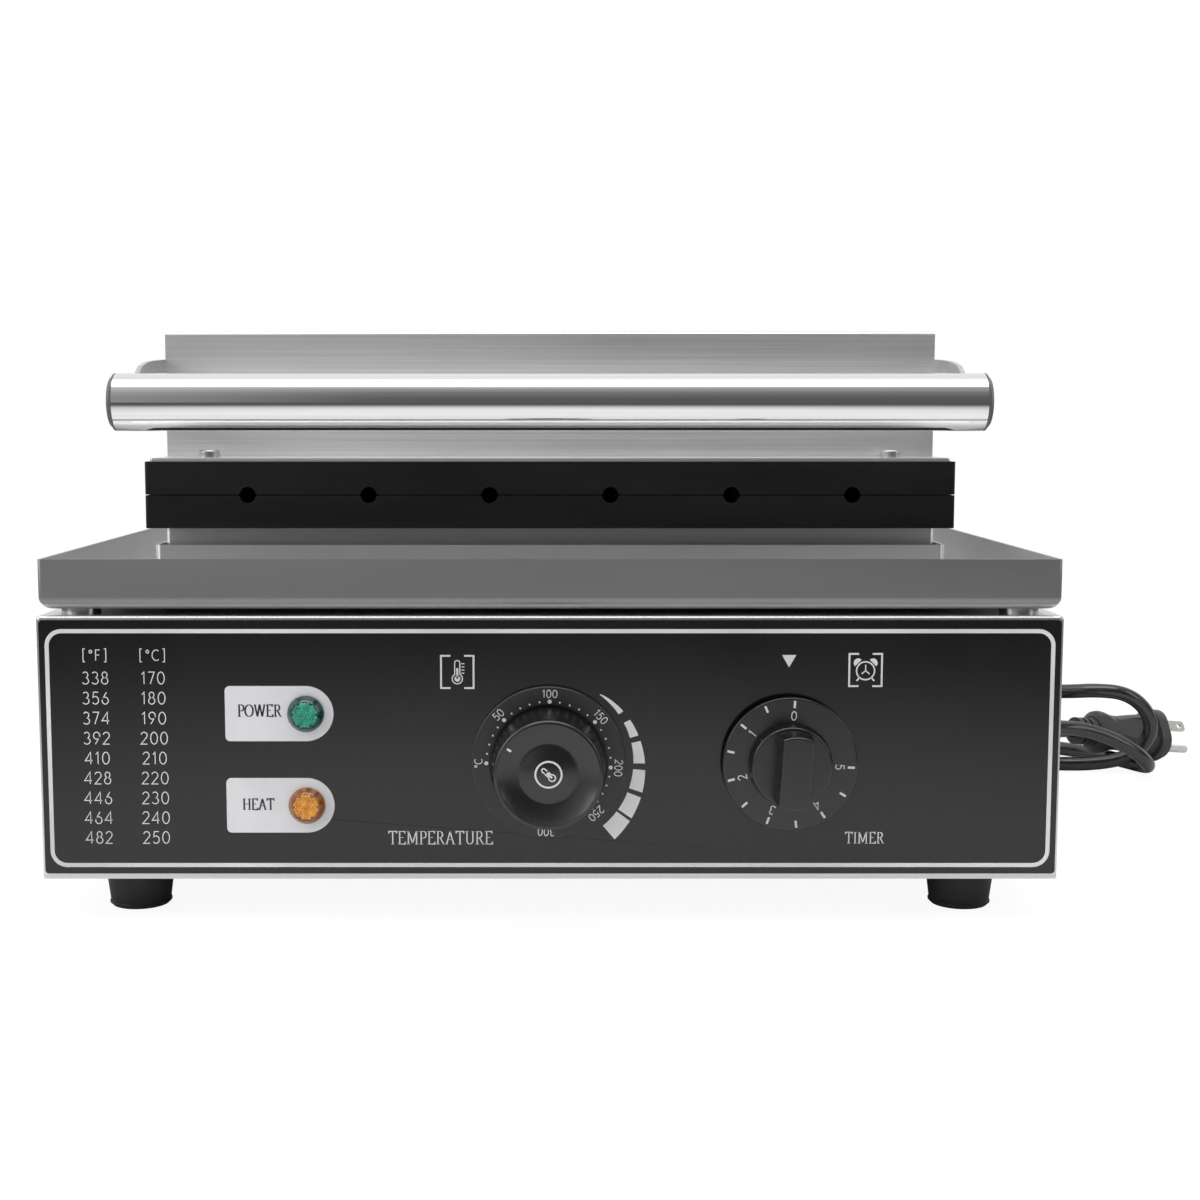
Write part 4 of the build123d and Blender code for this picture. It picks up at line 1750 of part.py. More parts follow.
with BuildPart() as plug_blades:
    for side in (-1, 1):
        with BuildSketch(plug_plane.offset(PLUG_LENGTH - BLADE_ROOT)):
            with Locations((side * BLADE_SPACING / 2, BLADE_RISE)):
                Rectangle(BLADE_THICKNESS, BLADE_WIDTH)
        extrude(amount=BLADE_ROOT + BLADE_LENGTH)
    tips = plug_blades.edges().filter_by(
        lambda edge: abs(edge.length - BLADE_THICKNESS) < 0.01
        and plug_plane.to_local_coords(edge.center()).Z > PLUG_LENGTH
    )
    fillet(tips, BLADE_TIP)
    blade_side = Plane(
        origin=plug_plane.from_local_coords(
            (0, BLADE_RISE, PLUG_LENGTH + BLADE_LENGTH - BLADE_HOLE_FROM_TIP)
        ),
        x_dir=plug_plane.z_dir,
        z_dir=plug_plane.x_dir,
    )
    with BuildSketch(blade_side):
        Circle(BLADE_HOLE_RADIUS)
    extrude(amount=BLADE_SPACING, both=True, mode=Mode.SUBTRACT)
plug_blades.part.label = "plug_blades"
export_step(plug_blades.part, "parts/plug_blades.step")

with BuildPart() as plug_ground_pin:
    with BuildSketch(plug_plane.offset(PLUG_LENGTH - BLADE_ROOT)):
        with Locations((0, BLADE_RISE - PIN_DROP)):
            Circle(PIN_RADIUS)
    extrude(amount=BLADE_ROOT + PIN_LENGTH)
    pin_ends = plug_ground_pin.edges().filter_by(GeomType.CIRCLE)
    fillet(pin_ends.sort_by(lambda edge: plug_plane.to_local_coords(edge.center()).Z)[-1], PIN_TIP)
plug_ground_pin.part.label = "plug_ground_pin"
export_step(plug_ground_pin.part, "parts/plug_ground_pin.step")
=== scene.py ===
"""Looks of a countertop corn dog maker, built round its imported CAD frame.

Lengths written with MM are millimetres in the CAD frame: X to the right, Y to the back, Z up.
"""

from math import cos, hypot, pi, radians, sin, sqrt

import bmesh
import bpy
from mathutils import Matrix, Vector


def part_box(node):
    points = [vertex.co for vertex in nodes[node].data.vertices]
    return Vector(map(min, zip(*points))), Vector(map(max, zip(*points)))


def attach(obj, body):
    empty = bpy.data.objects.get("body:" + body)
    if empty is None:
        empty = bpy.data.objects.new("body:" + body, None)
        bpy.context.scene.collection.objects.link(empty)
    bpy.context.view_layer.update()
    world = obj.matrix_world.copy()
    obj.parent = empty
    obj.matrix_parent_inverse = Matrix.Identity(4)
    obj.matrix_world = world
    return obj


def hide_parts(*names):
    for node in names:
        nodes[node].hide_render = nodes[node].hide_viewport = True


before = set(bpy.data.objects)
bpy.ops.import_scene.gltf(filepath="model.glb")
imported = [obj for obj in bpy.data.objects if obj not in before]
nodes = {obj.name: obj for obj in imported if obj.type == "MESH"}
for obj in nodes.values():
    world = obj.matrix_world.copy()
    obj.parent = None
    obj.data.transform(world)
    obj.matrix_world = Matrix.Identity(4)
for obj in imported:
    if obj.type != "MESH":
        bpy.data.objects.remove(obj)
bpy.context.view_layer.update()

MM = 0.001

# Places read from the frame
OVERLAY_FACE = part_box("front_overlay")[0].y
BASE_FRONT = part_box("base_housing")[0].y
RING_LOW, RING_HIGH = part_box("temperature_dial_ring")
RING_FACE = RING_LOW.y
RING_X = (RING_LOW.x + RING_HIGH.x) / 2
DIAL_Z = (RING_LOW.z + RING_HIGH.z) / 2
KNOB_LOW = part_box("temperature_knob")[0]
TIMER_LOW, TIMER_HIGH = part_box("timer_knob")
TIMER_X = (TIMER_LOW.x + TIMER_HIGH.x) / 2
LABEL_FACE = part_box("lamp_label_plates")[0].y
POWER_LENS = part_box("power_lamp_lens")
HEAT_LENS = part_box("heat_lamp_lens")
TRAY_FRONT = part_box("oil_tray")[0].y
# Painted shade: the tray's outside front is darkened to this share of the steel's tone, which fades
# back to full tone just behind its face
TRAY_FRONT_PAINTED_SHADE = 0.44
TRAY_SHADE_FADE_START = 0.8 * MM
TRAY_SHADE_FADE_END = 1.1 * MM

# Print
PRINT_LIFT = 0.04 * MM
THIN_STROKE = 0.075
SHARPEST_BEND = 0.45
SERIF_THIN = 0.04
SERIF_SWELL = 0.06
BORDER_HALF_WIDTH = 205.5 * MM
BORDER_BOTTOM = 23.5 * MM
BORDER_TOP = 120.9 * MM
BORDER_RADIUS = 6.0 * MM
BORDER_STROKE = 1.7 * MM
COLUMN_X = {"F": -186.0 * MM, "C": -162.4 * MM}
COLUMN_TOP = 101.6 * MM
COLUMN_STEP = 8.31 * MM
HEADER_Z = 111.0 * MM
NUMBER_HEIGHT = 4.95 * MM
HEADER_SHARE = 0.88
COLUMN_ROWS = 9
FIRST_CELSIUS = 170
CELSIUS_STEP = 10
TIMER_SKIRT_FACE = BASE_FRONT - 6.5 * MM
KNOB_DISH_DEPTH = 4.0 * MM
KNOB_DOME = 2.2 * MM
KNOB_DOME_RADIUS = 12.0 * MM


# Materials

CLOUD_SHARE = 0.45
UNEVEN_GLOSS = 0.18
BRUSH_DEPTH = 0.00003


def new_material(name, colour, roughness, metallic=0.0):
    """A material with its shader's plain values set."""
    material = bpy.data.materials.new(name)
    material.use_nodes = True
    shader = material.node_tree.nodes["Principled BSDF"]
    shader.inputs["Base Color"].default_value = (*colour, 1.0)
    shader.inputs["Roughness"].default_value = roughness
    shader.inputs["Metallic"].default_value = metallic
    return material, material.node_tree, shader


def noise(tree, stretch, scale, detail=4.0):
    """Noise on object coordinates, stretched by a scale along each axis."""
    coordinates = tree.nodes.new("ShaderNodeTexCoord")
    mapping = tree.nodes.new("ShaderNodeMapping")
    mapping.inputs["Scale"].default_value = stretch
    texture = tree.nodes.new("ShaderNodeTexNoise")
    texture.inputs["Scale"].default_value = scale
    texture.inputs["Detail"].default_value = detail
    tree.links.new(coordinates.outputs["Object"], mapping.inputs["Vector"])
    tree.links.new(mapping.outputs["Vector"], texture.inputs["Vector"])
    return texture.outputs["Fac"]


def add_object(name, data):
    """Puts a mesh, curve, camera or lamp into the scene."""
    thing = bpy.data.objects.new(name, data)
    bpy.context.scene.collection.objects.link(thing)
    return thing


def remapped(tree, source, low, high, new_low, new_high):
    """A value taken from one range to another and held inside it."""
    node = tree.nodes.new("ShaderNodeMapRange")
    node.inputs["From Min"].default_value = low
    node.inputs["From Max"].default_value = high
    node.inputs["To Min"].default_value = new_low
    node.inputs["To Max"].default_value = new_high
    tree.links.new(source, node.inputs["Value"])
    return node.outputs["Result"]


def spread(tree, source, low, high):
    """Maps the middle of a noise to the range from low to high."""
    return remapped(tree, source, 0.3, 0.7, low, high)


def tone_ramp(tree, source, stops):
    """A grey from the stops' tones, whose places run from 0 to 1, chosen by a value."""
    ramp = tree.nodes.new("ShaderNodeValToRGB")
    elements = ramp.color_ramp.elements
    while len(elements) > 1:
        elements.remove(elements[0])
    elements[0].position = stops[0][0]
    elements[0].color = (*[stops[0][1]] * 3, 1.0)
    for place, tone in stops[1:]:
        elements.new(place).color = (tone, tone, tone, 1.0)
    tree.links.new(source, ramp.inputs["Fac"])
    return ramp.outputs["Color"]


def tint(tree, source, dark, light):
    """A colour between dark and light, chosen by a noise."""
    mix = tree.nodes.new("ShaderNodeMix")
    mix.data_type = "RGBA"
    mix.inputs["A"].default_value = (*dark, 1.0)
    mix.inputs["B"].default_value = (*light, 1.0)
    tree.links.new(spread(tree, source, 0.0, 1.0), mix.inputs["Factor"])
    return mix.outputs["Result"]


def bump(tree, shader, source, strength, distance):
    """Adds a bump from a height to the shader."""
    node = tree.nodes.new("ShaderNodeBump")
    node.inputs["Strength"].default_value = strength
    node.inputs["Distance"].default_value = distance
    tree.links.new(source, node.inputs["Height"])
    tree.links.new(node.outputs["Normal"], shader.inputs["Normal"])


def stretched(axis, along, across):
    """Noise scales that are coarse along one axis and fine across it."""
    return tuple(along if letter == axis else across for letter in "XYZ")


def brushed_steel(name, tone, roughness, along="X", depth=0.12, metallic=0.85, streak=0.86):
    """Stainless sheet whose brush lines run along one axis."""
    dark = tuple(value * streak for value in tone)
    material, tree, shader = new_material(name, tone, roughness, metallic)
    lines = noise(tree, stretched(along, 6, 900), 1.0, 3.0)
    clouds = noise(tree, stretched(along, 5, 30), 0.8, 3.0)
    both = tree.nodes.new("ShaderNodeMath")
    both.operation = "MULTIPLY_ADD"
    both.inputs[1].default_value = CLOUD_SHARE
    tree.links.new(clouds, both.inputs[0])
    half = tree.nodes.new("ShaderNodeMath")
    half.operation = "MULTIPLY"
    half.inputs[1].default_value = 1 - CLOUD_SHARE
    tree.links.new(lines, half.inputs[0])
    tree.links.new(half.outputs[0], both.inputs[2])
    tree.links.new(tint(tree, both.outputs[0], dark, tone), shader.inputs["Base Color"])
    least, most = roughness * (1 - UNEVEN_GLOSS), roughness * (1 + UNEVEN_GLOSS)
    rough = spread(tree, clouds, least, most)
    tree.links.new(rough, shader.inputs["Roughness"])
    bump(tree, shader, lines, depth, BRUSH_DEPTH)
    return material


def grained_plastic(name, colour, roughness, grain=2600.0, depth=0.12, shine=0.5):
    """Moulded or printed plastic with a fine grain and slightly uneven gloss."""
    lighter = tuple(value * 1.3 + 0.001 for value in colour)
    material, tree, shader = new_material(name, colour, roughness)
    shader.inputs["Specular IOR Level"].default_value = shine
    fine = noise(tree, (1, 1, 1), grain, 2.0)
    wide = noise(tree, (1, 1, 1), 18.0, 3.0)
    tree.links.new(tint(tree, wide, colour, lighter), shader.inputs["Base Color"])
    tree.links.new(spread(tree, wide, roughness * 0.9, roughness * 1.1), shader.inputs["Roughness"])
    bump(tree, shader, fine, depth, 0.00002)
    return material


def tray_steel():
    """The tray's sheet, with painted shade that darkens its outside front against its bright inside.
    """
    material = brushed_steel("steel_tray", (0.66, 0.66, 0.66), 0.34, "X", 0.08, 0.6, 0.94)
    tree = material.node_tree
    shader = tree.nodes["Principled BSDF"]
    coordinates = tree.nodes.new("ShaderNodeTexCoord")
    separate = tree.nodes.new("ShaderNodeSeparateXYZ")
    tree.links.new(coordinates.outputs["Object"], separate.inputs["Vector"])
    start = TRAY_FRONT + TRAY_SHADE_FADE_START
    end = TRAY_FRONT + TRAY_SHADE_FADE_END
    # Painted shade: the outside front face is darkened, and the rest of the sheet keeps its full tone
    inside = remapped(tree, separate.outputs["Y"], start, end, TRAY_FRONT_PAINTED_SHADE, 1.0)
    scaled = tree.nodes.new("ShaderNodeMix")
    scaled.data_type = "RGBA"
    scaled.blend_type = "MULTIPLY"
    scaled.inputs["Factor"].default_value = 1.0
    colour = shader.inputs["Base Color"].links[0].from_socket
    tree.links.new(colour, scaled.inputs["A"])
    tree.links.new(inside, scaled.inputs["B"])
    tree.links.new(scaled.outputs["Result"], shader.inputs["Base Color"])
    return material


def mould_coating():
    """Black non-stick coating on cast metal: fine orange peel and faint paler rub marks."""
    material, tree, shader = new_material("mould_coating", (0.006, 0.006, 0.006), 0.42)
    shader.inputs["Specular IOR Level"].default_value = 0.4
    peel = noise(tree, (1, 1, 1), 900.0, 2.0)
    rub = noise(tree, (2, 14, 14), 6.0, 6.0)
    tree.links.new(
        tint(tree, rub, (0.005, 0.005, 0.005), (0.009, 0.009, 0.009)), shader.inputs["Base Color"]
    )
    tree.links.new(spread(tree, rub, 0.36, 0.5), shader.inputs["Roughness"])
    bump(tree, shader, peel, 0.25, 0.00012)
    return material


def chrome():
    """Polished tube with very faint drawing lines along it."""
    material, tree, shader = new_material("chrome", (0.86, 0.86, 0.87), 0.07, 1.0)
    lines = noise(tree, (3, 700, 700), 1.0, 2.0)
    tree.links.new(spread(tree, lines, 0.05, 0.11), shader.inputs["Roughness"])
    tree.links.new(
        tint(tree, lines, (0.80, 0.80, 0.81), (0.89, 0.89, 0.90)), shader.inputs["Base Color"]
    )
    return material


def lamp_glass(name, dark, bright):
    """Coloured clear plastic over a dimly lit lamp."""
    material, tree, shader = new_material(name, bright, 0.16)
    cells = noise(tree, (1, 1, 1), 420.0, 2.0)
    tree.links.new(tint(tree, cells, dark, bright), shader.inputs["Base Color"])
    shader.inputs["Coat Weight"].default_value = 0.6
    shader.inputs["Coat Roughness"].default_value = 0.08
    shader.inputs["Emission Color"].default_value = (*bright, 1.0)
    shader.inputs["Emission Strength"].default_value = 0.06
    return material


def cord_sheath():
    """Glossy black flexible sheath with a faint waviness."""
    material, tree, shader = new_material("cord_sheath", (0.010, 0.010, 0.011), 0.3)
    shader.inputs["Specular IOR Level"].default_value = 0.9
    wave = noise(tree, (1, 1, 1), 140.0, 3.0)
    tree.links.new(spread(tree, wave, 0.16, 0.30), shader.inputs["Roughness"])
    tree.links.new(
        tint(tree, wave, (0.008, 0.008, 0.009), (0.016, 0.016, 0.017)), shader.inputs["Base Color"]
    )
    bump(tree, shader, wave, 0.2, 0.0002)
    return material


def insulation_board():
    """Pale fibre board."""
    material, tree, shader = new_material("insulation", (0.72, 0.7, 0.64), 0.9)
    fibres = noise(tree, (1, 1, 8), 160.0, 8.0)
    tree.links.new(
        tint(tree, fibres, (0.6, 0.58, 0.52), (0.78, 0.76, 0.7)), shader.inputs["Base Color"]
    )
    bump(tree, shader, fibres, 0.5, 0.0004)
    return material


STEEL_BODY = brushed_steel("steel_body", (0.72, 0.72, 0.72), 0.24, "X")
STEEL_TRAY = tray_steel()
# Painted light: the box's and the housing's stainless get lighter tones than the same steel
# elsewhere, standing in for how brightly they are lit
STEEL_BOX_PAINTED_LIGHTER = brushed_steel("steel_box_painted_lighter", (0.95, 0.95, 0.95), 0.34, "X", 0.12, 0.7)
STEEL_HOUSING_PAINTED_LIGHTER = brushed_steel("steel_housing_painted_lighter", (1.0, 1.0, 0.995), 0.36, "X", 0.2, 0.75, 0.74)
STEEL_ARM = brushed_steel("steel_arm", (0.66, 0.66, 0.66), 0.26, "Y")
STEEL_HINGE = brushed_steel("steel_hinge", (0.46, 0.46, 0.46), 0.32, "Z")
FASTENER = brushed_steel("fastener", (0.55, 0.55, 0.54), 0.24, "Z", 0.05)
PANEL = grained_plastic("printed_panel", (0.004, 0.004, 0.0042), 0.17, 3200.0, 0.02, 0.6)
LABEL = grained_plastic("label", (0.74, 0.74, 0.76), 0.4, 1500.0, 0.05)
RING_BLACK = grained_plastic("ring_black", (0.020, 0.020, 0.021), 0.36, 2400.0, 0.06, 0.6)
DIAL_BLACK = grained_plastic("dial_black", (0.007, 0.007, 0.0075), 0.27, 2400.0, 0.05, 0.75)
PLUG_GREY = grained_plastic("plug_grey", (0.045, 0.045, 0.047), 0.42, 1500.0, 0.15)
GLAND_BLACK = grained_plastic("gland_black", (0.014, 0.014, 0.014), 0.5, 1500.0, 0.15)
CAP_GREY = grained_plastic("cap_grey", (0.12, 0.12, 0.12), 0.36, 1600.0, 0.08)
RUBBER = grained_plastic("foot_rubber", (0.010, 0.010, 0.010), 0.6, 900.0, 0.35)
CONTROL_CASE = grained_plastic("control_case", (0.55, 0.53, 0.47), 0.5, 900.0, 0.1)
WHITE_INK = grained_plastic("white_ink", (0.74, 0.74, 0.74), 0.5, 3000.0, 0.04)
DARK_INK = grained_plastic("dark_ink", (0.02, 0.02, 0.022), 0.5, 3000.0, 0.04)
MOULD = mould_coating()
CHROME = chrome()
GREEN_RIM = lamp_glass("green_rim", (0.0, 0.025, 0.02), (0.0, 0.07, 0.05))
GREEN_LENS = lamp_glass("green_lens", (0.0, 0.16, 0.10), (0.02, 0.50, 0.32))
AMBER_RIM = lamp_glass("amber_rim", (0.16, 0.05, 0.003), (0.36, 0.12, 0.006))
AMBER_LENS = lamp_glass("amber_lens", (0.55, 0.18, 0.01), (1.0, 0.45, 0.05))
SHEATH = cord_sheath()
BOARD = insulation_board()
NICKEL = brushed_steel("nickel", (0.92, 0.91, 0.88), 0.24, "X", 0.03, 0.55)
COPPER = brushed_steel("copper", (0.62, 0.33, 0.2), 0.3, "Y", 0.05)

NODE_MATERIALS = [
    (STEEL_BODY, ["base_housing", "rear_panel", "bottom_plate"]),
    (STEEL_TRAY, ["oil_tray"]),
    (STEEL_BOX_PAINTED_LIGHTER, ["lower_heater_box"]),
    (STEEL_HOUSING_PAINTED_LIGHTER, ["upper_heater_housing"]),
    (STEEL_ARM, ["left_handle_arm", "right_handle_arm"]),
    (STEEL_HINGE, ["hinge_brackets", "hinge_leaves"]),
    (PANEL, ["front_overlay"]),
    (LABEL, ["lamp_label_plates"]),
    (GREEN_RIM, ["power_lamp_lens"]),
    (AMBER_RIM, ["heat_lamp_lens"]),
    (RING_BLACK, ["temperature_dial_ring"]),
    (DIAL_BLACK, ["temperature_knob", "timer_knob"]),
    (MOULD, ["lower_mould", "upper_mould"]),
    (CHROME, ["handle_tube"]),
    (CAP_GREY, ["handle_end_caps"]),
    (RUBBER, ["rubber_feet"]),
    (COPPER, ["sensing_tube"]),
    (CONTROL_CASE, ["thermostat_body", "timer_body", "lamp_bodies", "lamp_nuts", "terminal_block"]),
    (BOARD, ["lower_insulation", "upper_insulation"]),
    (GLAND_BLACK, ["cord_gland", "cord_gland_nut"]),
    (PLUG_GREY, ["plug_body"]),
    (NICKEL, ["plug_blades", "plug_ground_pin"]),
]


def dress_nodes():
    """Gives every CAD node its finish; what isn't listed is plated steel."""
    listed = {name: material for material, names in NODE_MATERIALS for name in names}
    for name, node in nodes.items():
        node.data.materials.clear()
        node.data.materials.append(listed.get(name, FASTENER))


# Print on the panel, the labels and the dials, drawn as strokes in a flat plane

def arc(x, y, across, up, start, end, steps=14):
    """Points of an elliptical arc, in degrees anticlockwise from the right."""
    return [
        (
            x + across * cos(radians(start + (end - start) * step / steps)),
            y + up * sin(radians(start + (end - start) * step / steps)),
        )
        for step in range(steps + 1)
    ]


# Thin sans glyphs: the width, then the strokes, on a height of 1
SANS = {
    "0": (0.60, [arc(0.30, 0.5, 0.28, 0.5, 90, 450, 24)]),
    "1": (0.34, [[(0.04, 0.80), (0.22, 1.0), (0.22, 0.0)]]),
    "2": (0.56, [arc(0.27, 0.73, 0.25, 0.27, 165, -38) + [(0.0, 0.0), (0.54, 0.0)]]),
    "3": (0.56, [arc(0.25, 0.76, 0.22, 0.24, 150, -90) + arc(0.25, 0.26, 0.27, 0.26, 90, -150)]),
    "4": (0.62, [[(0.46, 0.0), (0.46, 1.0), (0.0, 0.28), (0.60, 0.28)]]),
    "5": (0.56, [[(0.50, 1.0), (0.12, 1.0), (0.06, 0.55)] + arc(0.25, 0.32, 0.27, 0.32, 125, -145)]),
    "6": (0.58, [[(0.40, 1.0), (0.06, 0.44)] + arc(0.28, 0.29, 0.26, 0.29, 160, 520, 20)]),
    "7": (0.52, [[(0.0, 1.0), (0.50, 1.0), (0.16, 0.0)]]),
    "8": (0.56, [arc(0.27, 0.77, 0.20, 0.23, 90, 450, 18), arc(0.27, 0.27, 0.26, 0.27, 90, 450, 20)]),
    "9": (0.58, [[(0.16, 0.0), (0.50, 0.56)] + arc(0.28, 0.71, 0.26, 0.29, -20, 340, 20)]),
    "F": (0.46, [[(0.04, 0.0), (0.04, 1.0), (0.44, 1.0)], [(0.04, 0.52), (0.38, 0.52)]]),
    "C": (0.62, [arc(0.38, 0.5, 0.38, 0.5, 50, 310, 20)]),
    "*": (0.26, [arc(0.12, 0.84, 0.13, 0.14, 0, 360, 12)]),
    "[": (0.34, [[(0.24, 1.1), (0.06, 1.1), (0.06, -0.12), (0.24, -0.12)]]),
    "]": (0.34, [[(0.06, 1.1), (0.24, 1.1), (0.24, -0.12), (0.06, -0.12)]]),
}
# Serif capitals, whose strokes are thick where they go down and thin where they go across
SERIF = {
    "P": (0.60, [
        [(0.14, 0), (0.14, 1)],
        [(0.02, 0), (0.28, 0)],
        [(0.02, 1), (0.32, 1)] + arc(0.32, 0.74, 0.2, 0.26, 90, -90) + [(0.14, 0.48)],
    ]),
    "O": (0.80, [
        arc(0.38, 0.5, 0.34, 0.5, 90, 450, 24),
    ]),
    "W": (1.02, [
        [(0.08, 1), (0.29, 0)],
        [(0.29, 0), (0.48, 1)],
        [(0.48, 1), (0.70, 0)],
        [(0.70, 0), (0.90, 1)],
        [(0, 1), (0.2, 1)],
        [(0.38, 1), (0.58, 1)],
        [(0.8, 1), (1.0, 1)],
    ]),
    "E": (0.66, [
        [(0.14, 0), (0.14, 1)],
        [(0.02, 1), (0.54, 1), (0.54, 0.84)],
        [(0.14, 0.52), (0.42, 0.52)],
        [(0.02, 0), (0.58, 0), (0.58, 0.18)],
    ]),
    "R": (0.72, [
        [(0.14, 0), (0.14, 1)],
        [(0.02, 0), (0.28, 0)],
        [(0.02, 1), (0.30, 1)] + arc(0.30, 0.75, 0.2, 0.25, 90, -90) + [(0.14, 0.5)],
        [(0.32, 0.5), (0.56, 0.04)],
        [(0.52, 0), (0.70, 0)],
    ]),
    "H": (0.80, [
        [(0.14, 0), (0.14, 1)],
        [(0.62, 0), (0.62, 1)],
        [(0.14, 0.52), (0.62, 0.52)],
        [(0.02, 0), (0.26, 0)],
        [(0.02, 1), (0.26, 1)],
        [(0.5, 0), (0.74, 0)],
        [(0.5, 1), (0.74, 1)],
    ]),
    "A": (0.78, [
        [(0.08, 0), (0.35, 1)],
        [(0.35, 1), (0.62, 0)],
        [(0.18, 0.36), (0.53, 0.36)],
        [(0, 0), (0.18, 0)],
        [(0.5, 0), (0.74, 0)],
    ]),
    "T": (0.70, [
        [(0.32, 0), (0.32, 1)],
        [(0.02, 0.84), (0.02, 1), (0.62, 1), (0.62, 0.84)],
        [(0.2, 0), (0.44, 0)],
    ]),
    "M": (0.98, [
        [(0.14, 0), (0.14, 1)],
        [(0.16, 1), (0.46, 0.08)],
        [(0.46, 0.08), (0.76, 1)],
        [(0.78, 1), (0.78, 0)],
        [(0.02, 0), (0.26, 0)],
        [(0.02, 1), (0.18, 1)],
        [(0.74, 1), (0.9, 1)],
        [(0.66, 0), (0.9, 0)],
    ]),
    "U": (0.78, [
        [(0.14, 1), (0.14, 0.32)] + arc(0.37, 0.3, 0.23, 0.3, 180, 360) + [(0.60, 1)],
        [(0.02, 1), (0.26, 1)],
        [(0.5, 1), (0.7, 1)],
    ]),
    "I": (0.36, [
        [(0.16, 0), (0.16, 1)],
        [(0.04, 0), (0.28, 0)],
        [(0.04, 1), (0.28, 1)],
    ]),
}


class Ink:
    """Flat printed shapes in a plane, gathered as faces and then placed on a face of the object."""

    def __init__(self):
        self.points = []
        self.faces = []

    def polygon(self, outline):
        start = len(self.points)
        self.points += list(outline)
        self.faces.append(list(range(start, start + len(outline))))

    def stroke(self, line, width):
        """A band along a line: width is a number, or a function of the direction."""
        closed = hypot(line[0][0] - line[-1][0], line[0][1] - line[-1][1]) < 1e-9
        line = line[:-1] if closed else line
        count = len(line)
        start = len(self.points)
        for index, (x, y) in enumerate(line):
            before = line[index - 1] if index or closed else line[0]
            after = line[(index + 1) % count] if index < count - 1 or closed else line[-1]
            into = unit(x - before[0], y - before[1]) or unit(after[0] - x, after[1] - y)
            out = unit(after[0] - x, after[1] - y) or into
            middle = unit(into[0] + out[0], into[1] + out[1]) or out
            bend = max(SHARPEST_BEND, middle[0] * into[0] + middle[1] * into[1])
            thick = width(middle) if callable(width) else width
            half = thick / 2 / bend
            self.points += [
                (x - middle[1] * half, y + middle[0] * half),
                (x + middle[1] * half, y - middle[0] * half),
            ]
        for index in range(count if closed else count - 1):
            a = start + 2 * index
            b = start + 2 * ((index + 1) % count)
            self.faces.append([a, a + 1, b + 1, b])

    def disc(self, x, y, radius, steps=16):
        self.polygon(arc(x, y, radius, radius, 0, 360 - 360 / steps, steps - 1))

    def text(
        self, words, x, y, height, glyphs=SANS, turn=0.0, gap=0.16, width=THIN_STROKE, weight=1.0
    ):
        """Words whose middle is at x, y, with their up direction turned from straight up."""
        total = sum(glyphs[letter][0] + gap for letter in words) - gap
        pen = -total / 2
        cosine, sine = cos(turn), sin(turn)

        def place(point):
            across, up = (pen + point[0]) * height, (point[1] - 0.5) * height
            return (x + across * cosine - up * sine, y + across * sine + up * cosine)

        def serif_width(way):
            upright = abs(-way[0] * sine + way[1] * cosine)
            return weight * height * (SERIF_THIN + SERIF_SWELL * upright)

        for letter in words:
            advance, strokes = glyphs[letter]
            for line in strokes:
                if glyphs is SERIF:
                    self.stroke([place(point) for point in line], serif_width)
                else:
                    self.stroke([place(point) for point in line], width * height)
            pen += advance + gap

    def place(self, name, x, z, face, material, body, slot, turn=0.0, drop=None):
        """Makes the piece, PRINT_LIFT in front of a face that looks towards the front."""
        mesh = bpy.data.meshes.new(name)
        cosine, sine = cos(turn), sin(turn)
        places = []
        for u, v in self.points:
            sunk = drop(hypot(u, v)) if drop else 0.0
            places.append((
                x + u * cosine - v * sine,
                face - PRINT_LIFT + sunk,
                z + u * sine + v * cosine,
            ))
        mesh.from_pydata(places, [], self.faces)
        piece = add_object(name, mesh)
        work = bmesh.new()
        work.from_mesh(mesh)
        bmesh.ops.recalc_face_normals(work, faces=work.faces)
        for one in work.faces:
            if one.normal.y > 0:
                one.normal_flip()
        work.to_mesh(mesh)
        work.free()
        mesh.materials.append(material)
        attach(piece, body)
        return piece


def unit(x, y):
    """The direction of x, y, or None where it has no length."""
    length = hypot(x, y)
    return (x / length, y / length) if length > 1e-12 else None


def print_border():
    """The white line round the panel."""
    ink = Ink()
    line = []
    corners = [
        (BORDER_HALF_WIDTH, BORDER_TOP, 0),
        (-BORDER_HALF_WIDTH, BORDER_TOP, 90),
        (-BORDER_HALF_WIDTH, BORDER_BOTTOM, 180),
        (BORDER_HALF_WIDTH, BORDER_BOTTOM, 270),
    ]
    for x, z, start in corners:
        centre_x = x - BORDER_RADIUS * (1 if x > 0 else -1)
        centre_z = z - BORDER_RADIUS * (1 if z == BORDER_TOP else -1)
        line += arc(centre_x, centre_z, BORDER_RADIUS, BORDER_RADIUS, start, start + 90, 8)
    line.append(line[0])
    ink.stroke(line, BORDER_STROKE)
    ink.place("panel_border", 0, 0, OVERLAY_FACE, WHITE_INK, "base", "label")


def print_columns():
    """The two columns of temperatures."""
    ink = Ink()
    for letter, x in COLUMN_X.items():
        height = NUMBER_HEIGHT * HEADER_SHARE
        ink.text("[*" + letter + "]", x, HEADER_Z, height, gap=0.3, width=0.09)
        for row in range(COLUMN_ROWS):
            celsius = FIRST_CELSIUS + CELSIUS_STEP * row
            value = celsius if letter == "C" else round(celsius * 9 / 5 + 32)
            level = COLUMN_TOP - row * COLUMN_STEP
            ink.text(str(value), x, level, NUMBER_HEIGHT, gap=0.23, width=0.08)
    ink.place("panel_numbers", 0, 0, OVERLAY_FACE, WHITE_INK, "base", "label")


# Words: the middle of each, its height and the gap between its letters
PANEL_WORDS = [
    ("TEMPERATURE", -45.0 * MM, 35.0 * MM, 5.3 * MM, 0.02),
    ("TIMER", 130.0 * MM, 35.0 * MM, 4.6 * MM, 0.03),
]
LABEL_WORDS = [
    ("POWER", -118.8 * MM, 88.2 * MM, 4.8 * MM, 0.0),
    ("HEAT", -119.9 * MM, 49.2 * MM, 4.5 * MM, 0.0),
]
LABEL_WEIGHT = 1.5


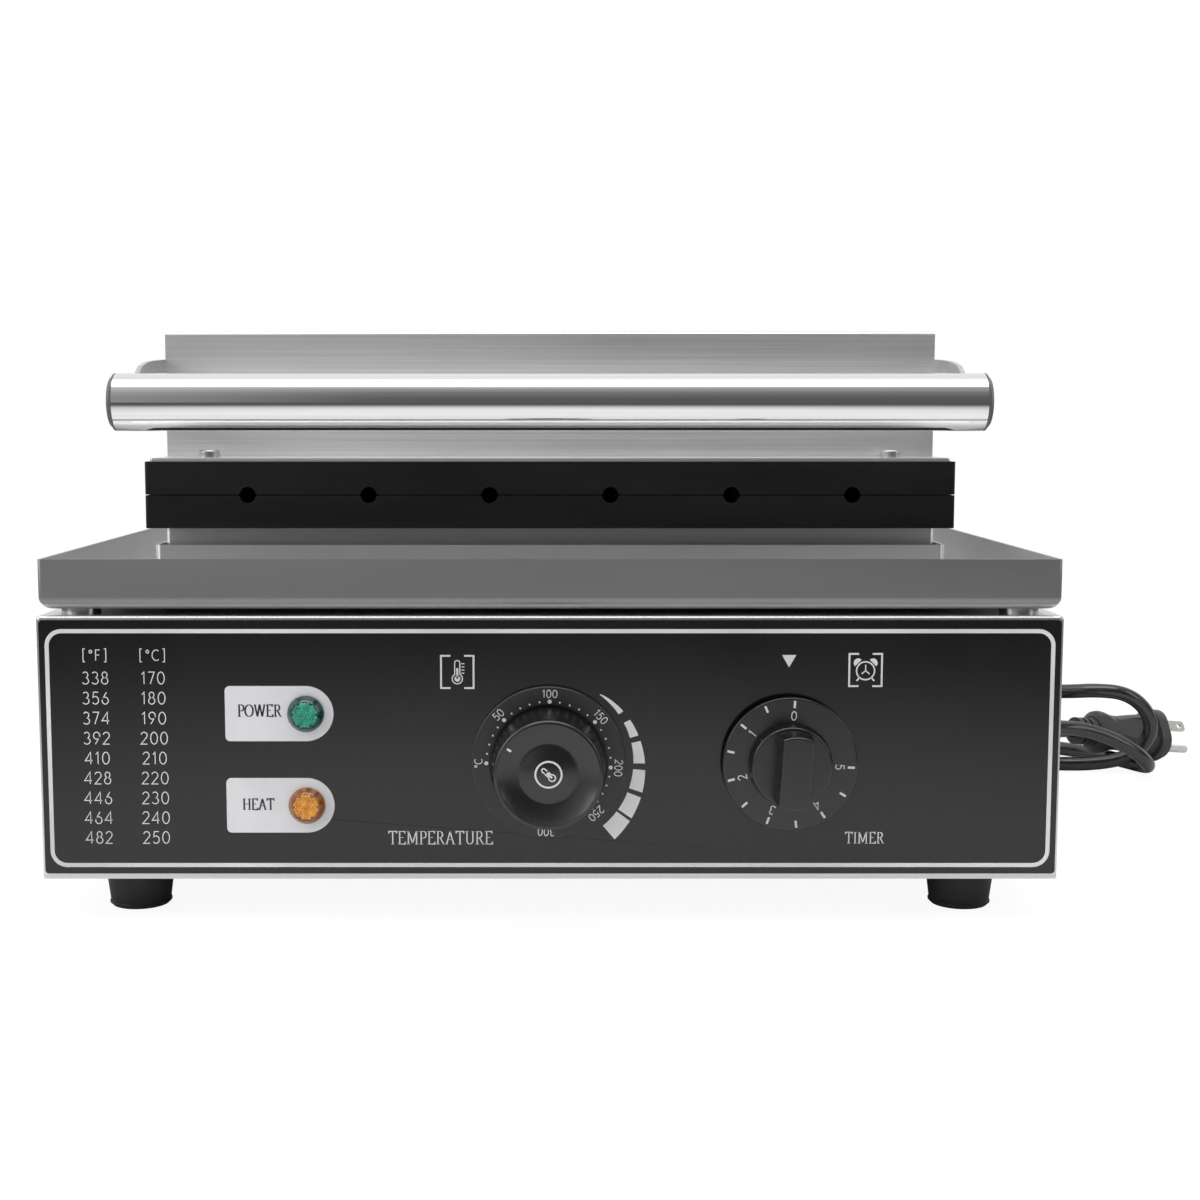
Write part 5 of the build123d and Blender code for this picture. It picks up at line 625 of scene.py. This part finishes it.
def print_words():
    """Plain words for what each control does."""
    ink = Ink()
    for words, x, z, height, gap in PANEL_WORDS:
        ink.text(words, x, z, height, SERIF, gap=gap)
    ink.place("panel_words", 0, 0, OVERLAY_FACE, WHITE_INK, "base", "label")
    label = Ink()
    for words, x, z, height, gap in LABEL_WORDS:
        label.text(words, x, z, height, SERIF, gap=gap, weight=LABEL_WEIGHT)
    label.place("label_words", 0, 0, LABEL_FACE, DARK_INK, "base", "printed_panel")


ICON_SIZE = 13.3 * MM
BRACKET_STROKE = 0.75 * MM
BRACKET_SHARE = 0.42
THERMOMETER_ICON = (-37.9 * MM, 104.1 * MM)
CLOCK_ICON = (129.0 * MM, 104.9 * MM)
ZERO_MARK = (97.7 * MM, 108.6 * MM)


def icon_brackets(ink, x, z):
    """Square brackets on both sides of an icon."""
    half = ICON_SIZE / 2
    for side in (-1, 1):
        ink.stroke(
            [
                (x + side * half * BRACKET_SHARE, z + half),
                (x + side * half, z + half),
                (x + side * half, z - half),
                (x + side * half * BRACKET_SHARE, z - half),
            ],
            BRACKET_STROKE,
        )


def thermometer_icon(ink, x, z):
    """A thermometer with four ticks on its right."""
    icon_brackets(ink, x, z)
    bulb_z = z - 2.8 * MM
    bulb = arc(x, bulb_z, 2.1 * MM, 2.1 * MM, 120, 420, 18)
    top = arc(x, z + 3.7 * MM, 1.05 * MM, 1.05 * MM, 0, 180, 8)
    ink.stroke(bulb + top + [bulb[0]], 0.45 * MM)
    ink.disc(x, bulb_z, 1.2 * MM)
    ink.stroke([(x, bulb_z), (x, z + 1.6 * MM)], 0.8 * MM)
    for step in range(4):
        level = z + (3.4 - 1.3 * step) * MM
        ink.stroke([(x + 1.7 * MM, level), (x + 2.9 * MM, level)], 0.4 * MM)


def clock_icon(ink, x, z):
    """An alarm clock with two bells and two feet."""
    icon_brackets(ink, x, z)
    pivot = (x, z - 0.3 * MM)
    ink.stroke(arc(*pivot, 3.7 * MM, 3.7 * MM, 90, 450, 28), 0.6 * MM)
    ink.stroke([(x, z + 2.2 * MM), pivot, (x + 1.6 * MM, z - 1.6 * MM)], 0.5 * MM)
    ink.stroke([pivot, (x - 1.6 * MM, z - 1.6 * MM)], 0.5 * MM)
    for side in (-1, 1):
        bell_x, bell_z = x + side * 3.0 * MM, z + 2.9 * MM
        slope = 90 - side * 45
        ink.polygon(arc(bell_x, bell_z, 1.9 * MM, 1.9 * MM, slope - 90, slope + 90, 10))
        heel = (x + side * 2.5 * MM, z - 3.1 * MM)
        toe = (x + side * 3.6 * MM, z - 4.5 * MM)
        ink.stroke([heel, toe], 0.7 * MM)


def print_icons():
    """A thermometer over the thermostat, an alarm clock by the timer and a mark over its zero."""
    ink = Ink()
    thermometer_icon(ink, *THERMOMETER_ICON)
    clock_icon(ink, *CLOCK_ICON)
    x, z = ZERO_MARK
    ink.polygon([
        (x - 2.9 * MM, z + 2.5 * MM),
        (x, z - 2.6 * MM),
        (x + 2.9 * MM, z + 2.5 * MM),
    ])
    ink.place("panel_icons", 0, 0, OVERLAY_FACE, WHITE_INK, "base", "label")


WEDGE_SPANS = [(53, 34.5), (27.7, 16.6), (13, -1), (-5, -18.4), (-21.4, -34.7), (-36.5, -50)]
WEDGE_RADIUS = 34.9 * MM
WEDGE_WIDTH = 7.2 * MM
WEDGE_LEAST = 0.3 * MM
WEDGE_GROWTH = 0.75
WEDGE_STEPS = 8


def print_heat_scale():
    """Blocks that grow round the dial's right side."""
    ink = Ink()
    first, last = WEDGE_SPANS[0][0], WEDGE_SPANS[-1][1]
    for start, end in WEDGE_SPANS:
        outer, inner = [], []
        for step in range(WEDGE_STEPS + 1):
            angle = start + (end - start) * step / WEDGE_STEPS
            share = (first - angle) / (first - last)
            grown = WEDGE_LEAST + WEDGE_WIDTH * share**WEDGE_GROWTH
            along = (cos(radians(angle)), sin(radians(angle)))
            inner.append((along[0] * WEDGE_RADIUS, along[1] * WEDGE_RADIUS))
            outer.append((along[0] * (WEDGE_RADIUS + grown), along[1] * (WEDGE_RADIUS + grown)))
        ink.polygon(inner + outer[::-1])
    ink.place("heat_scale", RING_X, DIAL_Z, OVERLAY_FACE, WHITE_INK, "base", "label")


RING_MARKS = [
    ("*C", 180.0),
    ("50", 135.5),
    ("100", 89.0),
    ("150", 42.0),
    ("200", -4.0),
    ("250", -47.0),
    ("300", -92.0),
]
RING_DOT_RADIUS = 25.5 * MM
RING_TEXT_RADIUS = 28.7 * MM
RING_TEXT_HEIGHT = 3.1 * MM
LARGE_DOT = 0.85 * MM
SMALL_DOT = 0.4 * MM
SMALL_DOTS = 4


def print_ring():
    """Numbers and dots on the dial ring."""
    ink = Ink()
    for index, (words, angle) in enumerate(RING_MARKS):
        way = (cos(radians(angle)), sin(radians(angle)))
        ink.text(
            words,
            way[0] * RING_TEXT_RADIUS,
            way[1] * RING_TEXT_RADIUS,
            RING_TEXT_HEIGHT,
            turn=radians(angle - 90),
            gap=0.2,
            width=0.11,
        )
        ink.disc(way[0] * RING_DOT_RADIUS, way[1] * RING_DOT_RADIUS, LARGE_DOT, 12)
        if index + 1 < len(RING_MARKS):
            following = RING_MARKS[index + 1][1]
            for step in range(1, SMALL_DOTS + 1):
                between = radians(angle + (following - angle) * step / (SMALL_DOTS + 1))
                x, y = cos(between) * RING_DOT_RADIUS, sin(between) * RING_DOT_RADIUS
                ink.disc(x, y, SMALL_DOT, 10)
    ink.place("ring_numbers", RING_X, DIAL_Z, RING_FACE, WHITE_INK, "base", "label")


def dome_drop(radius):
    """How far the knob's dome lies behind its top at a radius."""
    sphere = (KNOB_DOME_RADIUS**2 + KNOB_DOME**2) / (2 * KNOB_DOME)
    return sphere - sqrt(sphere**2 - min(radius, KNOB_DOME_RADIUS) ** 2)


KNOB_MARK_RADIUS = 5.2 * MM
KNOB_MARK_TILT = radians(48)
POINTER_INNER = 17.6 * MM
POINTER_OUTER = 19.6 * MM
POINTER_TURN = radians(57)
POINTER_SUNK = 0.55 * MM


def print_knob():
    """The thermometer mark in the middle of the temperature knob, and its pointer line."""
    ink = Ink()
    ink.stroke(arc(0, 0, KNOB_MARK_RADIUS, KNOB_MARK_RADIUS, 0, 360, 36), 0.75 * MM)
    tilt = Matrix.Rotation(KNOB_MARK_TILT, 2)

    def turned(points):
        return [tuple(tilt @ Vector(point)) for point in points]

    bulb = arc(0, -1.9 * MM, 1.35 * MM, 1.35 * MM, 125, 415, 14)
    top = arc(0, 2.6 * MM, 0.75 * MM, 0.75 * MM, 0, 180, 8)
    ink.stroke(turned(bulb + top + [bulb[0]]), 0.5 * MM)
    ink.stroke(turned([(0, -1.9 * MM), (0, 1.0 * MM)]), 0.8 * MM)
    dome_face = KNOB_LOW.y + KNOB_DISH_DEPTH - KNOB_DOME
    body = "temperature_knob"
    ink.place("knob_mark", RING_X, DIAL_Z, dome_face, WHITE_INK, body, "label", drop=dome_drop)
    pointer = Ink()
    pointer.stroke([(0, POINTER_INNER), (0, POINTER_OUTER)], 0.9 * MM)
    face = KNOB_LOW.y + POINTER_SUNK
    pointer.place("knob_pointer", RING_X, DIAL_Z, face, WHITE_INK, body, "label", POINTER_TURN)


TIMER_TICKS = 11
TIMER_STEP = 27.06
TIMER_START = 3.4
SKIRT_RADIUS = 27.6 * MM
TICK_LENGTH = 2.9 * MM
TICK_WIDTH = 0.95 * MM
TICK_INSET = 1.3 * MM
TIMER_TEXT_RADIUS = 20.2 * MM
TIMER_TEXT_HEIGHT = 3.5 * MM


def print_timer():
    """Ticks and numbers on the timer knob's skirt."""
    ink = Ink()
    for index in range(TIMER_TICKS):
        turn = radians(90 - TIMER_START + TIMER_STEP * index)
        way = (cos(turn), sin(turn))
        outer = SKIRT_RADIUS - TICK_INSET
        ink.stroke(
            [
                (way[0] * outer, way[1] * outer),
                (way[0] * (outer - TICK_LENGTH), way[1] * (outer - TICK_LENGTH)),
            ],
            TICK_WIDTH,
        )
        if index % 2 == 0:
            ink.text(
                str(index // 2),
                way[0] * TIMER_TEXT_RADIUS,
                way[1] * TIMER_TEXT_RADIUS,
                TIMER_TEXT_HEIGHT,
                turn=turn - pi / 2,
                width=0.12,
            )
    ink.place("timer_numbers", TIMER_X, DIAL_Z, TIMER_SKIRT_FACE, WHITE_INK, "timer_knob", "label")


# Lamps

FACET_PITCH = 1.28 * MM
FACET_FIELD = 5.5 * MM
FACET_RISE = 0.42 * MM
FACET_LIFT = 0.02 * MM
FACET_EDGE = 0.3
# Rings of a facet: their share of its radius and of its rise
FACET_RINGS = [(1.0, 0.0), (0.72, 0.62), (0.34, 0.94)]


def lamp_facets(name, lens, material):
    """A field of small hexagonal domes on a lamp's face."""
    low, high = lens
    centre_x, centre_z = (low.x + high.x) / 2, (low.z + high.z) / 2
    work = bmesh.new()
    reach = int(FACET_FIELD / FACET_PITCH) + 1
    for row in range(-reach - 1, reach + 2):
        for column in range(-reach, reach + 1):
            x = (column + 0.5 * (row % 2)) * FACET_PITCH
            z = row * FACET_PITCH * sqrt(3) / 2
            if hypot(x, z) > FACET_FIELD - FACET_PITCH * FACET_EDGE:
                continue
            rings = []
            for share, rise in FACET_RINGS:
                radius = FACET_PITCH / sqrt(3) * share
                rings.append([
                    work.verts.new((
                        centre_x + x + radius * sin(pi / 3 * corner),
                        low.y - FACET_LIFT - FACET_RISE * rise,
                        centre_z + z + radius * cos(pi / 3 * corner),
                    ))
                    for corner in range(6)
                ])
            for outer, inner in zip(rings, rings[1:]):
                for corner in range(6):
                    after = (corner + 1) % 6
                    work.faces.new([outer[corner], outer[after], inner[after], inner[corner]])
            work.faces.new(rings[-1])
    bmesh.ops.recalc_face_normals(work, faces=work.faces)
    mesh = bpy.data.meshes.new(name)
    work.to_mesh(mesh)
    work.free()
    for face in mesh.polygons:
        face.use_smooth = True
    piece = add_object(name, mesh)
    mesh.materials.append(material)
    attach(piece, "base")


# Power cord: the lead, the coil behind the machine and the loops beside it, on one curve.
# Its places are millimetres

CORD_RADIUS = 4.15
CORD_LAYER = 8.9
COIL_X = 100.0
COIL_Y = 240.5
COIL_RADIUS = 55.0
COIL_STEP = 10.5
COIL_HALF_TURNS = 5
POINTS_PER_HALF = 8
GLAND_TIP = (165.0, 205.5, 45.0)
PLUG_TAIL = (311.8, 143.5, 22.5)
LEAD_POINTS = [
    GLAND_TIP,
    (165.0, 224.5, 45.0),
    (163.5, 247.5, 38.0),
    (157.0, 269.0, 26.5),
    (144.5, 286.0, 17.0),
    (127.0, 295.5, 13.05),
    (108.3, 295.5, 13.05),
]
LOOP_POINTS = [
    (108.3, 185.5, 4.15),
    (165.0, 185.5, 4.15),
    (215.0, 194.0, 4.15),
    (262.0, 200.5, 4.15),
    (300.0, 194.5, 4.15),
    (327.0, 176.0, 4.15),
    (340.0, 148.0, 4.15),
    (349.5, 124.5, 4.15),
    (345.0, 109.5, 9.0),
    (335.0, 104.5, 18.0),
    (321.5, 102.5, 25.0),
    (307.5, 101.5, 30.0),
    (292.5, 98.5, 32.5),
    (268.0, 83.5, 34.5),
    (240.0, 79.5, 36.5),
    (220.0, 99.5, 39.0),
    (218.0, 127.5, 41.5),
    (236.0, 151.5, 43.5),
    (264.0, 157.5, 45.0),
    (288.0, 143.5, 46.0),
    (305.0, 130.5, 48.0),
    (317.5, 122.5, 50.0),
    (333.5, 119.5, 49.0),
    (346.5, 122.5, 40.0),
    (352.5, 125.5, 26.5),
    (346.5, 128.0, 14.0),
    (334.5, 130.5, 7.0),
    (314.0, 133.0, 4.15),
    (287.0, 138.5, 4.15),
    (261.0, 152.5, 4.5),
    (233.0, 150.5, 5.5),
    (217.5, 127.5, 7.5),
    (222.0, 99.5, 11.0),
    (243.0, 80.5, 15.0),
    (268.0, 88.5, 19.0),
    (285.0, 112.5, 22.5),
    (298.0, 138.0, 24.2),
    PLUG_TAIL,
]


def coil_points():
    """Points just outside the coil's half turns, so that the curve touches the turns."""
    top = CORD_RADIUS + CORD_LAYER
    ends = []
    for index in range(COIL_HALF_TURNS + 1):
        side = 1 if index % 2 == 0 else -1
        reach = COIL_RADIUS - min(index, COIL_HALF_TURNS - index) * COIL_STEP / 2
        level = top if index <= COIL_HALF_TURNS // 2 else CORD_RADIUS
        ends.append(Vector((COIL_X, COIL_Y + side * reach, level)))
    points = []
    for index in range(COIL_HALF_TURNS):
        start, end = ends[index], ends[index + 1]
        middle = (start + end) / 2
        towards = start - middle
        outward = Vector((-1 if index % 2 == 0 else 1, 0, 0)) * towards.length
        for step in range(POINTS_PER_HALF):
            angle = pi * (step + 0.5) / POINTS_PER_HALF
            out = 1 / cos(pi / POINTS_PER_HALF / 2)
            points.append(tuple(middle + (towards * cos(angle) + outward * sin(angle)) * out))
    return points


def power_cord():
    """The whole cord as one smooth curve."""
    points = LEAD_POINTS + coil_points() + LOOP_POINTS
    curve = bpy.data.curves.new("power_cord", "CURVE")
    curve.dimensions = "3D"
    curve.bevel_depth = CORD_RADIUS * MM
    curve.bevel_resolution = 6
    curve.resolution_u = 10
    curve.use_fill_caps = True
    spline = curve.splines.new("NURBS")
    spline.points.add(len(points) - 1)
    for point, place in zip(spline.points, points):
        point.co = (*(value * MM for value in place), 1.0)
    spline.order_u = 3
    spline.use_endpoint_u = True
    curve.materials.append(SHEATH)
    piece = add_object("power_cord", curve)
    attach(piece, "base")
    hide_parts("power_cord_lead", "power_cord_coil", "power_cord_loops")


# Edges of the CAD nodes: a small round where a pressed or cast edge catches the light

EDGE_ROUNDS = {
    "lower_mould": 0.5,
    "upper_mould": 0.5,
    "left_handle_arm": 0.35,
    "right_handle_arm": 0.35,
    "upper_heater_housing": 0.3,
    "lower_heater_box": 0.3,
    "oil_tray": 0.3,
    "hinge_brackets": 0.4,
    "hinge_leaves": 0.4,
    "handle_end_caps": 0.3,
    "front_overlay": 0.12,
    "lamp_label_plates": 0.15,
    "plug_body": 0.5,
    "temperature_knob": 0.3,
}


WELD_REACH = 0.000004
EDGE_ANGLE = radians(35)


def round_edges():
    """Joins each node's split corners and rounds its sharp edges a little."""
    for name, width in EDGE_ROUNDS.items():
        node = nodes[name]
        weld = node.modifiers.new("weld", "WELD")
        weld.merge_threshold = WELD_REACH
        bevel = node.modifiers.new("rounds", "BEVEL")
        bevel.width = width * MM
        bevel.segments = 2
        bevel.limit_method = "ANGLE"
        bevel.angle_limit = EDGE_ANGLE
        bevel.use_clamp_overlap = True
        bevel.harden_normals = False


# Studio

PIXEL_FOCUS = 1757.0
PHOTO_SIZE = 1200.0
CAMERA_DISTANCE = 0.712
CAMERA_HEIGHT = 0.2072
CAMERA_PITCH = 5.9
MACHINE_PIXEL_X = 550.0


def add_camera():
    """The photograph's camera: level sideways, a little down, with the machine left of the middle."""
    data = bpy.data.cameras.new("camera")
    data.sensor_width = 36.0
    data.lens = PIXEL_FOCUS / PHOTO_SIZE * data.sensor_width
    data.shift_x = (PHOTO_SIZE / 2 - MACHINE_PIXEL_X) / PHOTO_SIZE
    data.clip_start = 0.01
    data.clip_end = 50.0
    camera = add_object("camera", data)
    camera.location = (0.0, BASE_FRONT - CAMERA_DISTANCE, CAMERA_HEIGHT)
    camera.rotation_euler = (radians(90 - CAMERA_PITCH), 0.0, 0.0)
    bpy.context.scene.camera = camera


# Sky tones in front of the machine by the sine of the elevation: a dark wall, a bright ceiling
# and a bright floor, as polished steel shows them
SKY_BANDS = [
    (-1.0, 1.0),
    (-0.32, 0.97),
    (-0.24, 0.75),
    (-0.13, 0.13),
    (0.10, 0.11),
    (0.30, 0.12),
    (0.60, 0.20),
    (0.82, 0.36),
    (0.94, 1.0),
    (1.0, 1.0),
]
BACK_TONE = 0.9
LEFT_LIFT = 0.6
LEFT_FAR = -0.6
LEFT_NEAR = -0.1
BACK_FADE = 0.25
SKY_STRENGTH = 1.0


def add_world():
    """A white surround for the camera, and a studio with a dark front wall for what it lights."""
    world = bpy.data.worlds.new("studio")
    bpy.context.scene.world = world
    world.use_nodes = True
    tree = world.node_tree
    tree.nodes.clear()
    output = tree.nodes.new("ShaderNodeOutputWorld")
    coordinates = tree.nodes.new("ShaderNodeTexCoord")
    separate = tree.nodes.new("ShaderNodeSeparateXYZ")
    tree.links.new(coordinates.outputs["Generated"], separate.inputs["Vector"])
    stops = [((height + 1) / 2, tone) for height, tone in SKY_BANDS]
    grey = tone_ramp(tree, remapped(tree, separate.outputs["Z"], -1.0, 1.0, 0.0, 1.0), stops)
    lifted = tree.nodes.new("ShaderNodeMath")
    lifted.operation = "ADD"
    tree.links.new(grey, lifted.inputs[0])
    left = remapped(tree, separate.outputs["X"], LEFT_FAR, LEFT_NEAR, LEFT_LIFT, 0.0)
    tree.links.new(left, lifted.inputs[1])
    back = tree.nodes.new("ShaderNodeMix")
    back.data_type = "FLOAT"
    back.inputs["B"].default_value = BACK_TONE
    behind = remapped(tree, separate.outputs["Y"], 0.0, BACK_FADE, 0.0, 1.0)
    tree.links.new(behind, back.inputs["Factor"])
    tree.links.new(lifted.outputs[0], back.inputs["A"])
    studio = tree.nodes.new("ShaderNodeBackground")
    studio.inputs["Strength"].default_value = SKY_STRENGTH
    tree.links.new(back.outputs["Result"], studio.inputs["Color"])
    white = tree.nodes.new("ShaderNodeBackground")
    white.inputs["Color"].default_value = (1.0, 1.0, 1.0, 1.0)
    white.inputs["Strength"].default_value = 1.0
    path = tree.nodes.new("ShaderNodeLightPath")
    mix = tree.nodes.new("ShaderNodeMixShader")
    tree.links.new(path.outputs["Is Camera Ray"], mix.inputs["Fac"])
    tree.links.new(studio.outputs["Background"], mix.inputs[1])
    tree.links.new(white.outputs["Background"], mix.inputs[2])
    tree.links.new(mix.outputs["Shader"], output.inputs["Surface"])


# Painted light: floor tones that fall with the distance from the machine's front, a painted pool of
# light round it that its steel and film reflect
FLOOR_BANDS = [(0.0, 0.95), (0.30, 0.85), (0.60, 0.50), (0.90, 0.12), (1.40, 0.07)]
FLOOR_REACH = 1.5
FLOOR_WHITE = (0.86, 0.86, 0.86)
FLOOR_HALF = 6.0
FLOOR_GLOW = 1.1
FLOOR_GLOW_SHARE = 0.84


def floor_tone(tree):
    """White for the camera, and for what reflects it a painted pool of light that darkens away from
    the machine.
    """
    geometry = tree.nodes.new("ShaderNodeNewGeometry")
    distance = tree.nodes.new("ShaderNodeVectorMath")
    distance.operation = "DISTANCE"
    distance.inputs[1].default_value = (0.0, BASE_FRONT, 0.0)
    tree.links.new(geometry.outputs["Position"], distance.inputs[0])
    stops = [(far / FLOOR_REACH, tone) for far, tone in FLOOR_BANDS]
    share = remapped(tree, distance.outputs["Value"], 0.0, FLOOR_REACH, 0.0, 1.0)
    grey = tone_ramp(tree, share, stops)
    path = tree.nodes.new("ShaderNodeLightPath")
    mix = tree.nodes.new("ShaderNodeMix")
    mix.data_type = "RGBA"
    mix.inputs["B"].default_value = (*FLOOR_WHITE, 1.0)
    tree.links.new(path.outputs["Is Camera Ray"], mix.inputs["Factor"])
    tree.links.new(grey, mix.inputs["A"])
    return mix.outputs["Result"]


def add_floor():
    """A pale floor that shows as nearly white and keeps a soft shadow."""
    mesh = bpy.data.meshes.new("floor")
    corners = [(-1, -1), (1, -1), (1, 1), (-1, 1)]
    places = [(x * FLOOR_HALF, y * FLOOR_HALF, 0) for x, y in corners]
    mesh.from_pydata(places, [], [(0, 1, 2, 3)])
    floor = add_object("floor", mesh)
    material, tree, shader = new_material("floor", FLOOR_WHITE, 0.8)
    tree.links.new(floor_tone(tree), shader.inputs["Base Color"])
    output = tree.nodes["Material Output"]
    glow = tree.nodes.new("ShaderNodeEmission")
    glow.inputs["Strength"].default_value = FLOOR_GLOW
    path = tree.nodes.new("ShaderNodeLightPath")
    share = tree.nodes.new("ShaderNodeMath")
    share.operation = "MULTIPLY"
    share.inputs[1].default_value = FLOOR_GLOW_SHARE
    mix = tree.nodes.new("ShaderNodeMixShader")
    tree.links.new(path.outputs["Is Camera Ray"], share.inputs[0])
    tree.links.new(share.outputs[0], mix.inputs["Fac"])
    tree.links.new(shader.outputs["BSDF"], mix.inputs[1])
    tree.links.new(glow.outputs["Emission"], mix.inputs[2])
    tree.links.new(mix.outputs["Shader"], output.inputs["Surface"])
    mesh.materials.append(material)


LAMP_TARGET = (0.0, 0.0, 0.15)
# Soft lamps: name, place, width and height, power
LAMPS = [
    ("top_lamp", (0.0, -0.3, 1.5), (1.6, 0.8), 9.0),
    ("left_lamp", (-1.5, -0.9, 0.9), (0.7, 1.2), 6.0),
    ("right_lamp", (1.5, -0.7, 0.8), (0.7, 1.2), 4.0),
]


def add_lamp(name, place, size, power):
    """A rectangular soft lamp that looks at the machine."""
    data = bpy.data.lights.new(name, "AREA")
    data.shape = "RECTANGLE"
    data.size, data.size_y = size
    data.energy = power
    lamp = add_object(name, data)
    lamp.location = place
    towards = Vector(LAMP_TARGET) - Vector(place)
    lamp.rotation_euler = towards.to_track_quat("-Z", "Y").to_euler()


def add_studio():
    """World, floor, camera and lamps."""
    add_world()
    add_floor()
    add_camera()
    for lamp in LAMPS:
        add_lamp(*lamp)
    bpy.context.scene.view_settings.view_transform = "Standard"


dress_nodes()
round_edges()
print_border()
print_columns()
print_words()
print_icons()
print_heat_scale()
print_ring()
print_knob()
print_timer()
lamp_facets("power_lamp_facets", POWER_LENS, GREEN_LENS)
lamp_facets("heat_lamp_facets", HEAT_LENS, AMBER_LENS)
power_cord()
add_studio()
